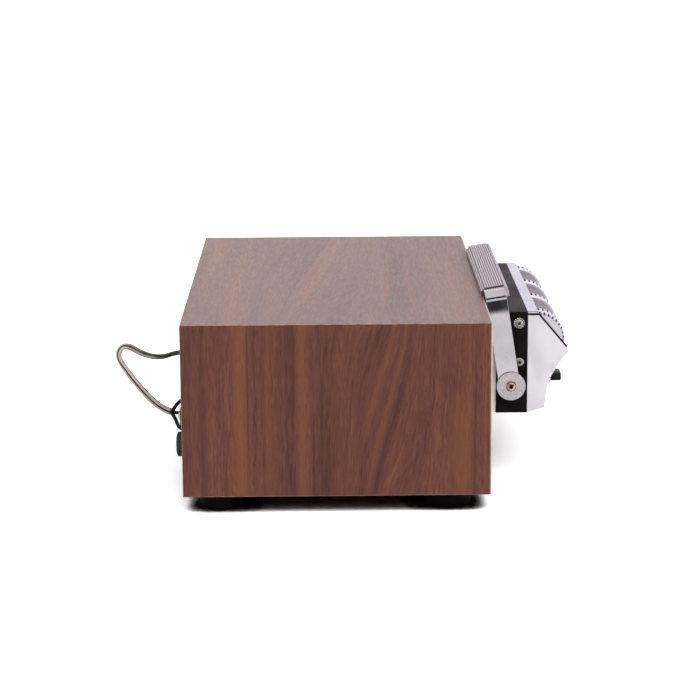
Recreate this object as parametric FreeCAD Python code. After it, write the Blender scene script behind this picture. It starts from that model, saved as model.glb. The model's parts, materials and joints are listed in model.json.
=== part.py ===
import FreeCAD, Part
import math
import os

# An 8-track tape player: a dash-style player with a carrying handle, docked in a wooden cabinet.
# Millimetres. +X is the front, where the cartridge goes in, +Z is up, and z = 0 is the surface
# under the rubber feet. The origin is below the middle of the whole player.

# ---------------------------------------------------------------- cabinet
cabinet_width = 348.0
cabinet_height = 121.0
cabinet_depth = 212.5
board = 12.0
front_plate = 0.8
rear_inset = 7.5
rear_plate = 3.0
cleat_size = 14.0
foot_height = 12.0
foot_top_radius = 15.0
foot_base_radius = 15.9
foot_recess_radius = 6.0
foot_recess_depth = 7.0
foot_side_inset = 25.0
foot_rear_inset = 25.9
foot_front_inset = 28.4

# ---------------------------------------------------------------- rear controls
rear_fittings_inset = 60.0
knob_length = 14.7
knob_gap = 0.5
knob_radius = 8.85
knob_ribs = 24
knob_rib_depth = 0.5
knob_height = 21.9
terminal_height = 42.7
terminal_spacing = 16.0
terminal_block_depth = 11.7
terminal_block_height = 12.0
terminal_block_margin = 10.0
grommet_height = 89.4
grommet_radius = 5.5
grommet_flange = 2.0
lead_diameter = 4.6
lead_bore_radius = 1.3

# ---------------------------------------------------------------- player can and its dock
can_top_gap = 11.0
dock_sheet = 1.5
dock_width = 150.0
dock_flange = 14.0
dock_end_inset = 12.0
can_width = 189.0
can_height = 60.0
can_length = 176.5
can_sheet = 1.0
can_show = 8.5
can_gap = 0.15

# ---------------------------------------------------------------- front housing and nose
housing_width = 191.0
housing_height = 74.1
housing_depth = 22.5
housing_wall = 1.6
cheek_thickness = 3.0
cheek_tab_length = 12.0
cheek_tab_low = 30.0
cheek_tab_high = 70.0
cheek_tab_thickness = 1.8
tab_gap = 0.2
nose_out = 29.4
nose_height = 45.2
nose_round = 1.6
nose_upper_angle = 38.6
nose_lower_angle = -32.0
cheek_top_gap = 1.5
cheek_top_out = 7.9
hollow_out = 20.8
hollow_height = 33.1
waist_out = 14.8
waist_height = 21.9
toe_out = 12.5
toe_height = 3.6
fascia_inset = 0.8
fascia_wall = 2.2
fascia_side_gap = 0.2
fascia_flange = 8.0
crown_sheet = 1.2
crown_out = 7.4
crown_side_inset = 0.3
gasket_width = 2.2
gasket_thickness = 1.2
lip_rise = 1.2

# ---------------------------------------------------------------- thumbwheels
wheel_out = 7.3
wheel_height = 52.6
wheel_radius = 20.0
wheel_width = 15.5
wheel_pitch = 55.0
wheel_teeth = 36
wheel_tooth_depth = 1.5
wheel_tooth_share = 0.6
wheel_tooth_length = 8.0
wheel_end_tooth_length = 3.5
wheel_gap = 0.6
wheel_side_gap = 0.4
wheel_shaft_radius = 3.0
shroud_radius = 18.2
shroud_wall = 1.5
shroud_tab_width = 20.0
shroud_tab_height = 4.0
shroud_tab_lift = 9.4
pot_radius = 8.0
pot_depth = 9.0
pot_bore_depth = 7.5
pot_shaft_hole = 4.0
running_clearance = 0.05

# ---------------------------------------------------------------- cartridge slot, bay and door
cartridge_width = 101.6
cartridge_side_gap = 0.8
slot_low = 5.5
slot_height = 25.0
bay_sheet = 0.8
bay_length = 85.0
bay_front_out = 9.0
bay_gap = 0.15
door_pin_out = 12.0
door_pin_height = 29.0
door_pin_radius = 1.0
door_barrel_radius = 1.9
door_length = 22.8
door_sheet = 1.2
door_tilt = 7.3
door_side_gap = 0.4
lug_thickness = 3.0
lug_space = 4.0
spring_wire = 0.25
spring_radius = 1.6
spring_pitch = 0.7
spring_turns = 4

# ---------------------------------------------------------------- program button
button_y = -79.0
button_height = 23.9
button_tip_out = 25.5
button_root_out = 12.0
button_width = 12.0
button_tall = 6.2
button_gap = 0.15
button_travel = 3.0
bezel_wall = 1.5
bezel_front_out = 17.5
bezel_rear_out = 8.0
switch_depth = 14.0

# ---------------------------------------------------------------- handle
pivot_back = 12.2
pivot_height = 21.4
handle_lean = 8.8
strap_width = 15.0
strap_thickness = 2.5
strap_offset = -1.0
strap_rise = 67.5
strap_tab = 17.0
strap_bend = 6.0
bush_length = 3.8
bush_radius = 7.0
spigot_radius = 4.0
pivot_play = 0.2
disc_radius = 10.3
disc_thickness = 1.4
grip_length = 184.0
grip_notch = 7.0
grip_front = 9.0
grip_back = 10.4
grip_top = 70.0
grip_under = 64.6
grip_lip = 63.0
grip_lip_thickness = 2.2
grip_edge = 2.6
grip_ribs = 8
grip_rib_height = 0.5
grip_slot_gap = 0.15

# ---------------------------------------------------------------- screws
wood_screw_head = 3.6
wood_screw_shank = 1.9
wood_screw_length = 11.0
machine_screw_head = 3.1
machine_screw_height = 2.0
machine_screw_shank = 1.6
machine_screw_length = 4.0
pivot_screw_head = 3.6
pivot_screw_height = 2.0
pivot_screw_shank = 1.9
pivot_screw_length = 12.0
screw_clearance = 0.1
cross_width = 0.9
upper_screw_back = 6.2
upper_screw_height = 66.0
lower_screw_back = 5.6
lower_screw_height = 37.5
star_washer_radius = 3.9
star_washer_thickness = 0.8
star_washer_teeth = 14

# ---------------------------------------------------------------- tape drive
deck_height = 32.0
deck_sheet = 1.5
deck_end_inset = 8.0
deck_side_inset = 4.0
deck_leg_width = 12.0
capstan_back = 5.0
capstan_y = -28.0
capstan_radius = 2.5
capstan_reach = 26.0
flywheel_radius = 30.0
flywheel_thickness = 10.0
bearing_radius = 4.5
bearing_flange_radius = 9.0
bearing_flange = 5.0
bearing_drop = 8.0
bearing_play = 0.5
motor_distance = 73.0
motor_radius = 19.0
motor_length = 28.0
motor_shaft_radius = 1.5
motor_bore_depth = 12.0
pulley_radius = 6.0
belt_width = 6.0
belt_thickness = 1.0
belt_gap = 0.3
head_y = 15.0
head_width = 12.0
head_depth = 10.0
head_tall = 14.0
head_front_gap = 2.0
carriage_width = 24.0
carriage_depth = 14.0
carriage_low = 10.0
carriage_tall = 16.0
carriage_arm_length = 18.0
carriage_arm_width = 7.0
carriage_arm_thickness = 3.0
guide_pin_radius = 1.5
guide_pin_spacing = 14.0
cam_base_radius = 6.0
cam_rise = 2.4
cam_sweep = 270.0
cam_width = 5.0
cam_shaft_radius = 1.5
cam_gap = 0.3
ratchet_radius = 6.0
ratchet_width = 4.0
ratchet_teeth = 12
ratchet_gap = 11.0
cam_tab_width = 14.0
solenoid_length = 26.0
solenoid_width = 18.0
solenoid_back = 8.0
plunger_radius = 3.0
plunger_out = 14.0
plunger_bore = 16.0
plunger_travel = 4.0
plunger_over_ratchet = 0.4
board_lift = 6.0
board_sheet = 1.6
board_width = 74.0
board_length = 134.0
board_inner_y = 9.0
board_rear_inset = 20.0
capacitor_radius = 5.5
capacitor_height = 14.0
capacitor_count = 4
sink_width = 40.0
sink_tall = 15.0
sink_fins = 6
sink_fin = 1.4
sink_depth = 12.0

# ---------------------------------------------------------------- mains transformer
transformer_side_inset = 46.0
transformer_rear_gap = 35.5
core_length = 48.0
core_tall = 40.0
core_stack = 18.0
core_window = 8.0
core_leg = 8.0
winding_overhang = 7.0
winding_gap = 0.3

# ---------------------------------------------------------------- places worked out from the above
rear_reach = knob_length + knob_gap - rear_inset
front_reach = can_show + housing_depth + nose_out
rear_x = (rear_reach - front_reach - cabinet_depth) / 2
front_x = rear_x + cabinet_depth
side_y = cabinet_width / 2
under_z = foot_height
top_z = under_z + cabinet_height
inner_floor_z = under_z + board
inner_top_z = top_z - board
inner_side_y = side_y - board
plate_back_x = front_x - front_plate
panel_out_x = rear_x + rear_inset
panel_in_x = panel_out_x + rear_plate

rear_fittings_y = rear_fittings_inset - side_y
transformer_y = transformer_side_inset - side_y

can_top_z = inner_top_z - can_top_gap
player_z = can_top_z - can_height
housing_x = front_x + can_show
fascia_x = housing_x + housing_depth
can_front_x = housing_x + housing_wall
can_rear_x = can_front_x - can_length
can_side_y = can_width / 2
housing_side_y = housing_width / 2
housing_inner_y = housing_side_y - housing_wall
cheek_inner_y = housing_side_y - cheek_thickness
fascia_half = cheek_inner_y - fascia_side_gap
cheek_top_z = player_z + housing_height - crown_sheet - cheek_top_gap

wheel_x = fascia_x + wheel_out
wheel_z = player_z + wheel_height
wheel_first_y = -1.5 * wheel_pitch
shroud_width = wheel_pitch - wheel_width - 2 * wheel_side_gap

bay_half = cartridge_width / 2 + cartridge_side_gap
bay_front_x = fascia_x + bay_front_out
bay_rear_x = bay_front_x - bay_length
door_half = bay_half - door_side_gap
lug_inner_y = bay_half + lug_space
door_pin_x = fascia_x + door_pin_out
door_pin_z = player_z + door_pin_height

pivot_x = fascia_x - pivot_back
pivot_z = player_z + pivot_height
strap_inner_y = housing_side_y + bush_length + pivot_play
strap_outer_y = strap_inner_y + strap_thickness
disc_inner_y = strap_outer_y + pivot_play

deck_under_z = player_z + deck_height
deck_top_z = deck_under_z + deck_sheet
capstan_x = bay_rear_x - capstan_back
motor_x = capstan_x - motor_distance
flywheel_z = deck_top_z + bearing_flange + bearing_play
belt_z = flywheel_z + (flywheel_thickness - belt_width) / 2
carriage_z = player_z + carriage_low
carriage_x = bay_rear_x - head_front_gap - head_depth - carriage_depth
cam_x = carriage_x - carriage_arm_length / 2
arm_z = carriage_z + carriage_tall - carriage_arm_thickness
cam_z = arm_z - cam_gap - cam_base_radius
cam_tab_y = head_y + cam_width / 2 + 2
ratchet_y = cam_tab_y + deck_sheet + ratchet_gap
plunger_y = ratchet_y + ratchet_width / 2
plunger_z = cam_z + ratchet_radius + plunger_over_ratchet + plunger_radius
solenoid_x = cam_x - solenoid_back - solenoid_length

# The lead's route behind the cabinet: (behind the cabinet's rear edge, sideways, above its base).
lead_route = [
    (-5.5, 0.0, 89.4),
    (5.0, 0.0, 89.4),
    (17.0, -1.2, 85.2),
    (29.5, -1.0, 87.6),
    (42.3, 0.2, 95.4),
    (48.7, 1.8, 87.6),
    (43.5, 3.2, 77.0),
    (34.0, 4.6, 63.5),
    (23.5, 6.0, 50.8),
    (12.0, 8.0, 42.7),
    (4.2, 8.0, 42.7),
]

V = FreeCAD.Vector
along_x = V(1, 0, 0)
along_y = V(0, 1, 0)
along_z = V(0, 0, 1)


def box(x0, x1, y0, y1, z0, z1):
    """A block between two corners."""
    return Part.makeBox(x1 - x0, y1 - y0, z1 - z0, V(x0, y0, z0))


def rod(radius, start, end):
    """A round bar between two points."""
    return Part.makeCylinder(radius, (end - start).Length, start, end - start)


def mirrored(shape):
    """The same piece on the other side of the player."""
    return shape.mirror(V(0, 0, 0), along_y)


def joined(shapes):
    """One solid out of pieces that touch or overlap."""
    whole = shapes[0].fuse(shapes[1:])
    return whole.removeSplitter()


def moved(shape, x=0, y=0, z=0):
    """A copy of the piece, moved."""
    return shape.translated(V(x, y, z))


def side_plate(face, y0, y1):
    """A face in the side view, given thickness from y0 to y1."""
    return moved(face, y=y0).extrude(V(0, y1 - y0, 0))


def side_polygon(points):
    """A face in the side view from its (x, z) corners."""
    corners = [V(x, 0, z) for x, z in points]
    return Part.Face(Part.makePolygon(corners + corners[:1]))


def toothed_polygon(radius, depth, teeth, share):
    """(across, up) corners of a toothed wheel about the origin."""
    points = []
    step = 2 * math.pi / teeth
    for tooth in range(teeth):
        for part, reach in ((0, radius), (share, radius), (share, radius - depth), (1, radius - depth)):
            angle = (tooth + part) * step
            points.append((reach * math.cos(angle), reach * math.sin(angle)))
    return points


def screw(head_at, direction, head_radius, head_height, shank_radius, shank_length):
    """A pan-head screw with a cross recess. head_at is under the head, direction is where it points."""
    shank = Part.makeCylinder(shank_radius, shank_length, head_at, direction)
    head = Part.makeCylinder(head_radius, head_height, head_at, direction * -1)
    piece = joined([head, shank])
    outer = [edge for edge in piece.Edges if abs(edge.Length - 2 * math.pi * head_radius) < 0.01
             and abs((edge.CenterOfMass - head_at).Length - head_height) < 0.01]
    piece = piece.makeFillet(head_height * 0.45, outer)
    reach = head_radius * 0.62
    depth = head_height * 0.6
    cross = [Part.makeBox(2 * reach, cross_width, depth + 1, V(-reach, -cross_width / 2, -depth)),
             Part.makeBox(cross_width, 2 * reach, depth + 1, V(-cross_width / 2, -reach, -depth))]
    for slot in cross:
        slot.Placement = FreeCAD.Placement(head_at - direction * head_height,
                                           FreeCAD.Rotation(along_z, direction * -1))
        piece = piece.cut(slot)
    return piece


def pilot(head_at, direction, shank_radius, length):
    """The hole that a screw's shank passes through."""
    return Part.makeCylinder(shank_radius + screw_clearance, length, head_at, direction)


# ================================================================ cabinet
def cabinet_board(turns):
    """One of the four mitred boards: 0 is the floor, and each turn takes it a corner further round."""
    half_y, half_z = (side_y, cabinet_height / 2) if turns % 2 == 0 else (cabinet_height / 2, side_y)
    points = [(-half_y, -half_z), (half_y, -half_z),
              (half_y - board, -half_z + board), (-half_y + board, -half_z + board)]
    corners = [V(rear_x, y, z) for y, z in points]
    face = Part.Face(Part.makePolygon(corners + corners[:1]))
    piece = face.extrude(V(cabinet_depth - front_plate, 0, 0))
    piece.rotate(V(0, 0, 0), along_x, 90 * turns)
    return moved(piece, z=under_z + cabinet_height / 2)


def foot_places():
    """The four places of the feet, seen from above."""
    side = side_y - foot_side_inset
    return [(x, y) for x in (rear_x + foot_rear_inset, front_x - foot_front_inset) for y in (-side, side)]


def dock_screw_places():
    """The four screws of the dock, seen from above."""
    side = dock_width / 2 + dock_flange / 2
    return [(x, y) for x in (can_rear_x + 2 * dock_end_inset, front_x - 2 * dock_end_inset)
            for y in (-side, side)]


def rubber_feet():
    feet = []
    for x, y in foot_places():
        foot = Part.makeCone(foot_base_radius, foot_top_radius, foot_height, V(x, y, 0))
        recess = Part.makeCylinder(foot_recess_radius, foot_recess_depth, V(x, y, 0))
        bore = Part.makeCylinder(wood_screw_shank + screw_clearance, foot_height, V(x, y, 0))
        feet.append(foot.cut(recess).cut(bore))
    return feet


def floor_screw_seats():
    """Under the head of each screw in the cabinet's floor, with the way it points."""
    seats = [(V(x, y, foot_recess_depth), along_z) for x, y in foot_places()]
    seats += [(V(x, y, inner_floor_z + dock_sheet), along_z * -1) for x, y in dock_screw_places()]
    return seats


def floor_screws():
    return [screw(seat, way, wood_screw_head, machine_screw_height, wood_screw_shank, wood_screw_length)
            for seat, way in floor_screw_seats()]


def cabinet_floor():
    floor = cabinet_board(0)
    for seat, way in floor_screw_seats():
        floor = floor.cut(pilot(seat, way, wood_screw_shank, wood_screw_length + screw_clearance))
    return floor


def front_panel():
    plate = box(plate_back_x, front_x, -side_y, side_y, under_z, top_z)
    opening = box(plate_back_x, front_x, -can_side_y - can_gap, can_side_y + can_gap,
                  player_z - can_gap, can_top_z + can_gap)
    return plate.cut(opening)


def rear_screw_seats():
    side = inner_side_y - cleat_size / 2
    return [V(panel_out_x, y, z) for y in (-side, side)
            for z in (inner_floor_z + cleat_size, inner_top_z - cleat_size)]


def rear_panel_screws():
    return [screw(seat, along_x, wood_screw_head, machine_screw_height, wood_screw_shank, wood_screw_length)
            for seat in rear_screw_seats()]


def panel_cleats():
    cleat = box(panel_in_x, panel_in_x + cleat_size, -inner_side_y, -inner_side_y + cleat_size,
                inner_floor_z, inner_top_z)
    cleats = []
    for piece in (cleat, mirrored(cleat)):
        for seat in rear_screw_seats():
            piece = piece.cut(pilot(seat, along_x, wood_screw_shank, wood_screw_length + screw_clearance))
        cleats.append(piece)
    return cleats


def rear_panel():
    panel = box(panel_out_x, panel_in_x, -inner_side_y, inner_side_y, inner_floor_z, inner_top_z)
    for seat in rear_screw_seats():
        panel = panel.cut(pilot(seat, along_x, wood_screw_shank, rear_plate))
    for radius, place in ((grommet_radius - grommet_flange, grommet_height),
                          (pot_shaft_hole + screw_clearance, knob_height)):
        start = V(panel_out_x, rear_fittings_y, under_z + place)
        panel = panel.cut(Part.makeCylinder(radius + screw_clearance, rear_plate, start, along_x))
    return panel


# ================================================================ rear fittings
def cord_grommet():
    centre = V(panel_out_x, rear_fittings_y, under_z + grommet_height)
    flange = Part.makeCylinder(grommet_radius, grommet_flange, centre, along_x * -1)
    sleeve = Part.makeCylinder(grommet_radius - grommet_flange, rear_plate + grommet_flange, centre, along_x)
    bore = rod(lead_bore_radius, centre - along_x * grommet_flange,
               centre + along_x * (rear_plate + grommet_flange))
    return joined([flange, sleeve]).cut(bore)


def rear_knob():
    points = toothed_polygon(knob_radius, knob_rib_depth, knob_ribs, 0.6)
    corners = [V(rear_x - rear_reach, y, z) for y, z in points]
    face = Part.Face(Part.makePolygon(corners + corners[:1]))
    knob = face.extrude(V(knob_length, 0, 0))
    knob = moved(knob, y=rear_fittings_y, z=under_z + knob_height)
    shaft_start = V(rear_x - rear_reach + knob_length / 2, rear_fittings_y, under_z + knob_height)
    shaft = rod(wheel_shaft_radius, shaft_start, V(panel_in_x + pot_bore_depth / 2, shaft_start.y, shaft_start.z))
    return joined([knob, shaft])


def rear_pot():
    centre = V(panel_in_x, rear_fittings_y, under_z + knob_height)
    body = Part.makeCylinder(pot_radius, pot_depth, centre, along_x)
    bush = Part.makeCylinder(pot_shaft_hole, rear_plate, centre, along_x * -1)
    bore = rod(wheel_shaft_radius + running_clearance, centre - along_x * rear_plate,
               centre + along_x * pot_bore_depth)
    return joined([body, bush]).cut(bore)


def terminal_places():
    return [V(panel_out_x - terminal_block_depth, rear_fittings_y + shift, under_z + terminal_height)
            for shift in (0, terminal_spacing)]


def terminal_strip():
    block = box(panel_out_x - terminal_block_depth, panel_out_x,
                rear_fittings_y - terminal_block_margin,
                rear_fittings_y + terminal_spacing + terminal_block_margin,
                under_z + terminal_height - terminal_block_height / 2,
                under_z + terminal_height + terminal_block_height / 2)
    for place in terminal_places():
        block = block.cut(pilot(place, along_x, machine_screw_shank, machine_screw_length + screw_clearance))
    return block


def terminal_screws():
    return [screw(place, along_x, machine_screw_head, machine_screw_height,
                  machine_screw_shank, machine_screw_length) for place in terminal_places()]


def rear_lead():
    """Straight runs joined by tangent arcs, each as large as its two runs allow."""
    points = [V(rear_x - back, rear_fittings_y + aside, under_z + up) for back, aside, up in lead_route]
    edges = []
    at = points[0]
    for before, corner, after in zip(points, points[1:], points[2:]):
        into = (corner - before).normalize()
        out = (after - corner).normalize()
        turn = into.getAngle(out)
        radius = 0.45 * min((corner - before).Length, (after - corner).Length) / math.tan(turn / 2)
        print("lead arc", round(radius, 1), "mm, turning", round(math.degrees(turn), 1), "degrees")
        setback = radius * math.tan(turn / 2)
        start = corner - into * setback
        end = corner + out * setback
        inward = (out - into).normalize()
        middle = corner + inward * (radius / math.cos(turn / 2) - radius)
        edges.append(Part.LineSegment(at, start).toShape())
        edges.append(Part.Arc(start, middle, end).toShape())
        at = end
    edges.append(Part.LineSegment(at, points[-1]).toShape())
    path = Part.Wire(edges)
    section = Part.Wire(Part.makeCircle(lead_diameter / 2, points[0], points[1] - points[0]))
    tube = path.makePipeShell([section], True, True)
    ideal = math.pi * lead_diameter ** 2 / 4 * path.Length
    print("lead length", round(path.Length, 1), "mm, volume ratio", round(tube.Volume / ideal, 4))
    return tube


# ================================================================ transformer
def transformer_core():
    x0 = rear_x + transformer_rear_gap
    y0 = transformer_y - core_stack / 2
    block = box(x0, x0 + core_length, y0, y0 + core_stack, inner_floor_z, inner_floor_z + core_tall)
    for start in (core_leg, core_length - core_leg - core_window):
        block = block.cut(box(x0 + start, x0 + start + core_window, y0, y0 + core_stack,
                              inner_floor_z + core_leg, inner_floor_z + core_tall - core_leg))
    return block


def transformer_winding():
    x0 = rear_x + transformer_rear_gap + core_leg
    x1 = x0 + core_length - 2 * core_leg
    y0 = transformer_y - core_stack / 2 - winding_overhang
    y1 = transformer_y + core_stack / 2 + winding_overhang
    z0 = inner_floor_z + core_leg
    z1 = inner_floor_z + core_tall - core_leg
    coil = box(x0 + winding_gap, x1 - winding_gap, y0, y1, z0 + winding_gap, z1 - winding_gap)
    leg = box(x0 + core_window - winding_gap, x1 - core_window + winding_gap,
              transformer_y - core_stack / 2 - winding_gap, transformer_y + core_stack / 2 + winding_gap,
              z0, z1)
    return coil.cut(leg)


# ================================================================ dock and can
def dock_bracket():
    x0 = can_rear_x + dock_end_inset
    x1 = front_x - dock_end_inset
    half = dock_width / 2
    table = box(x0, x1, -half, half, player_z - dock_sheet, player_z)
    leg = box(x0, x1, -half, -half + dock_sheet, inner_floor_z, player_z)
    flange = box(x0, x1, -half - dock_flange, -half + dock_sheet, inner_floor_z, inner_floor_z + dock_sheet)
    bracket = joined([table, leg, flange, mirrored(leg), mirrored(flange)])
    for x, y in dock_screw_places():
        bracket = bracket.cut(pilot(V(x, y, inner_floor_z), along_z, wood_screw_shank, dock_sheet))
    return bracket


def chassis_tray():
    outer = box(can_rear_x, can_front_x, -can_side_y, can_side_y, player_z, can_top_z - can_sheet)
    inner = box(can_rear_x + can_sheet, can_front_x, -can_side_y + can_sheet, can_side_y - can_sheet,
                player_z + can_sheet, can_top_z)
    return outer.cut(inner)


def chassis_cover():
    half = can_side_y - can_sheet - can_gap
    sheet = box(can_rear_x, can_front_x, -can_side_y, can_side_y, can_top_z - can_sheet, can_top_z)
    flange = box(can_rear_x + 2 * can_sheet, can_front_x, -half, -half + can_sheet,
                 can_top_z - 6 * can_sheet, can_top_z)
    return joined([sheet, flange, mirrored(flange)])


# ================================================================ front housing, cheeks and fascia
def nose_face(shrink):
    """The nose in the side view, its front edge set back by shrink."""
    def at(out, up):
        return V(fascia_x + out, 0, player_z + up)
    top_rear = V(fascia_x, 0, cheek_top_z)
    top_front = V(fascia_x + cheek_top_out - shrink, 0, cheek_top_z)
    upper, tip, lower = [
        at(nose_out - shrink + nose_round * (math.cos(angle) - 1), nose_height + nose_round * math.sin(angle))
        for angle in (math.radians(nose_upper_angle), 0, math.radians(nose_lower_angle))]
    hollow = at(hollow_out - shrink, hollow_height)
    waist = at(waist_out - shrink, waist_height)
    toe = at(toe_out - shrink, toe_height)
    heel = at(0, 0)
    edges = [Part.makeLine(top_rear, top_front), Part.makeLine(top_front, upper),
             Part.Arc(upper, tip, lower).toShape(), Part.Arc(lower, hollow, waist).toShape(),
             Part.makeLine(waist, toe), Part.makeLine(toe, heel), Part.makeLine(heel, top_rear)]
    return Part.Face(Part.Wire(edges))


def wheel_space(clearance):
    """The room that the whole thumbwheel bank turns in."""
    return rod(wheel_radius + clearance, V(wheel_x, -cheek_inner_y - 1, wheel_z),
               V(wheel_x, cheek_inner_y + 1, wheel_z))


def side_screw_places():
    return [(fascia_x - upper_screw_back, player_z + upper_screw_height),
            (fascia_x - lower_screw_back, player_z + lower_screw_height)]


def front_housing():
    outer = box(housing_x, fascia_x, -housing_side_y, housing_side_y, player_z, player_z + housing_height)
    inner = box(can_front_x, fascia_x, -housing_inner_y, housing_inner_y,
                player_z + housing_wall, player_z + housing_height - housing_wall)
    mouth = box(housing_x, fascia_x, -can_side_y - can_gap, can_side_y + can_gap,
                player_z + housing_wall, can_top_z + can_gap)
    throat = box(housing_x, can_front_x, -can_side_y - can_gap, can_side_y + can_gap,
                 player_z, can_top_z + can_gap)
    shell = outer.cut(inner).cut(throat)
    shell = shell.cut(mouth.common(box(housing_x, can_front_x, -side_y, side_y, 0, top_z)))
    for x, z in side_screw_places():
        for side in (-1, 1):
            start = V(x, side * housing_side_y, z)
            shell = shell.cut(pilot(start, along_y * -side, machine_screw_shank, 2 * housing_wall))
    for side in (-1, 1):
        start = V(pivot_x, side * housing_side_y, pivot_z)
        shell = shell.cut(pilot(start, along_y * -side, pivot_screw_shank, 2 * housing_wall))
    return shell


def cheek():
    plate = side_plate(nose_face(0), -housing_side_y, -cheek_inner_y)
    tab_outer = -housing_inner_y + tab_gap
    tab = box(fascia_x - cheek_tab_length, fascia_x + cheek_thickness, tab_outer,
              tab_outer + cheek_tab_thickness, player_z + cheek_tab_low, player_z + cheek_tab_high)
    piece = joined([plate, tab])
    for x, z in side_screw_places():
        piece = piece.cut(pilot(V(x, -housing_side_y, z), along_y, machine_screw_shank, 2 * cheek_thickness))
    return piece


def cheek_gasket():
    """The black strip that lies along the cheek's top edge and down its slope."""
    rise = nose_height + nose_round * math.sin(math.radians(nose_upper_angle)) + player_z
    slope_end = V(fascia_x + nose_out - nose_round * (1 - math.cos(math.radians(nose_upper_angle))), 0, rise)
    corner = V(fascia_x + cheek_top_out, 0, cheek_top_z)
    along = (slope_end - corner).normalize()
    out = V(-along.z, 0, along.x)
    lift = along_z * gasket_thickness
    mitre = lift + along_x * gasket_thickness * math.tan(along_x.getAngle(along) / 2)
    slope_end = slope_end - along * nose_round
    points = [V(fascia_x, 0, cheek_top_z), corner, slope_end, slope_end + out * gasket_thickness,
              corner + mitre, V(fascia_x, 0, cheek_top_z) + lift]
    return side_plate(side_polygon([(point.x, point.z) for point in points]),
                      -cheek_inner_y - gasket_width, -cheek_inner_y)


def fascia_crown():
    z1 = player_z + housing_height
    half = housing_side_y - crown_side_inset
    strip = box(fascia_x, fascia_x + crown_out, -half, half, z1 - crown_sheet, z1)
    hook = box(fascia_x, fascia_x + crown_sheet, -fascia_half, fascia_half,
               z1 - housing_wall - crown_sheet, z1)
    flange = box(fascia_x - fascia_flange, fascia_x + crown_sheet, -fascia_half + cheek_thickness,
                 fascia_half - cheek_thickness, z1 - housing_wall - crown_sheet, z1 - housing_wall)
    return joined([strip, hook, flange]).cut(wheel_space(wheel_gap))


def fascia_lower():
    shell = side_plate(nose_face(fascia_inset), -fascia_half, fascia_half)
    inner = side_plate(nose_face(fascia_inset + fascia_wall), -fascia_half - 1, fascia_half + 1)
    shell = shell.cut(moved(inner, z=fascia_wall))
    lip_z = player_z + nose_height + lip_rise
    shell = shell.cut(box(fascia_x - 1, fascia_x + nose_out + 1, -fascia_half - 1, fascia_half + 1,
                          lip_z, player_z + housing_height + 1))
    shell = shell.cut(box(fascia_x - 1, fascia_x + fascia_wall, -fascia_half - 1, fascia_half + 1,
                          player_z + fascia_wall, lip_z))
    flange = box(fascia_x - fascia_flange, fascia_x + fascia_wall, -fascia_half + cheek_thickness,
                 fascia_half - cheek_thickness, player_z + housing_wall, player_z + 2 * housing_wall)
    lugs = []
    for side in (-1, 1):
        y0, y1 = sorted((side * lug_inner_y, side * (lug_inner_y + lug_thickness)))
        lugs.append(box(door_pin_x - 2 * door_pin_radius, door_pin_x + waist_out - toe_out + door_pin_radius,
                        y0, y1, door_pin_z - 2 * door_pin_radius, door_pin_z + 2 * door_pin_radius))
    half_w = button_width / 2 + button_gap
    half_t = button_tall / 2 + button_gap
    z = player_z + button_height
    bezel = box(fascia_x + bezel_rear_out, fascia_x + bezel_front_out,
                button_y - half_w - bezel_wall, button_y + half_w + bezel_wall,
                z - half_t - bezel_wall, z + half_t + bezel_wall)
    piece = joined([shell, flange, bezel] + lugs)
    piece = piece.cut(wheel_space(wheel_gap))
    guide_side = bay_half + bay_sheet + bay_gap
    guide_low = player_z + slot_low - bay_sheet - bay_gap
    piece = piece.cut(box(fascia_x - fascia_flange, bay_front_x + bay_gap, -guide_side, guide_side,
                          guide_low, guide_low + slot_height))
    piece = piece.cut(box(fascia_x + toe_out - 3 * fascia_wall, fascia_x + nose_out, -bay_half, bay_half,
                          player_z + slot_low, player_z + slot_low + slot_height))
    piece = piece.cut(box(fascia_x, fascia_x + nose_out, button_y - half_w, button_y + half_w,
                          z - half_t, z + half_t))
    return piece.cut(rod(door_pin_radius, V(door_pin_x, -side_y, door_pin_z), V(door_pin_x, side_y, door_pin_z)))


# ================================================================ thumbwheels
def wheel(index, shaft_side):
    """A thumbwheel with its stub shaft, which turns in its control.

    Its rim is smooth on the right and toothed on the left; the first wheel has teeth at both ends.
    """
    y0 = wheel_first_y + index * wheel_pitch - wheel_width / 2
    y1 = y0 + wheel_width
    points = toothed_polygon(wheel_radius, wheel_tooth_depth, wheel_teeth, wheel_tooth_share)
    toothed = side_polygon([(wheel_x + across, wheel_z + up) for across, up in points])
    smooth_start = y0 + wheel_end_tooth_length if index == 0 else y0
    smooth_end = y1 - wheel_tooth_length
    middle = V(wheel_x, (y0 + y1) / 2, wheel_z)
    reach = wheel_width / 2 + wheel_side_gap + shroud_wall + pot_bore_depth - running_clearance
    pieces = [side_plate(toothed, smooth_end, y1),
              rod(wheel_radius, V(wheel_x, smooth_start, wheel_z), V(wheel_x, smooth_end, wheel_z)),
              rod(wheel_shaft_radius, middle, middle + along_y * shaft_side * reach)]
    if index == 0:
        pieces.append(side_plate(toothed, y0, smooth_start))
    return joined(pieces)


def shroud_ends():
    """The two ends of each shroud, with whether a wheel's control sits inside that end."""
    ends = []
    for index in range(3):
        middle = wheel_first_y + (index + 0.5) * wheel_pitch
        ends.append((middle - shroud_width / 2, middle + shroud_width / 2, index != 1))
    return ends


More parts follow.
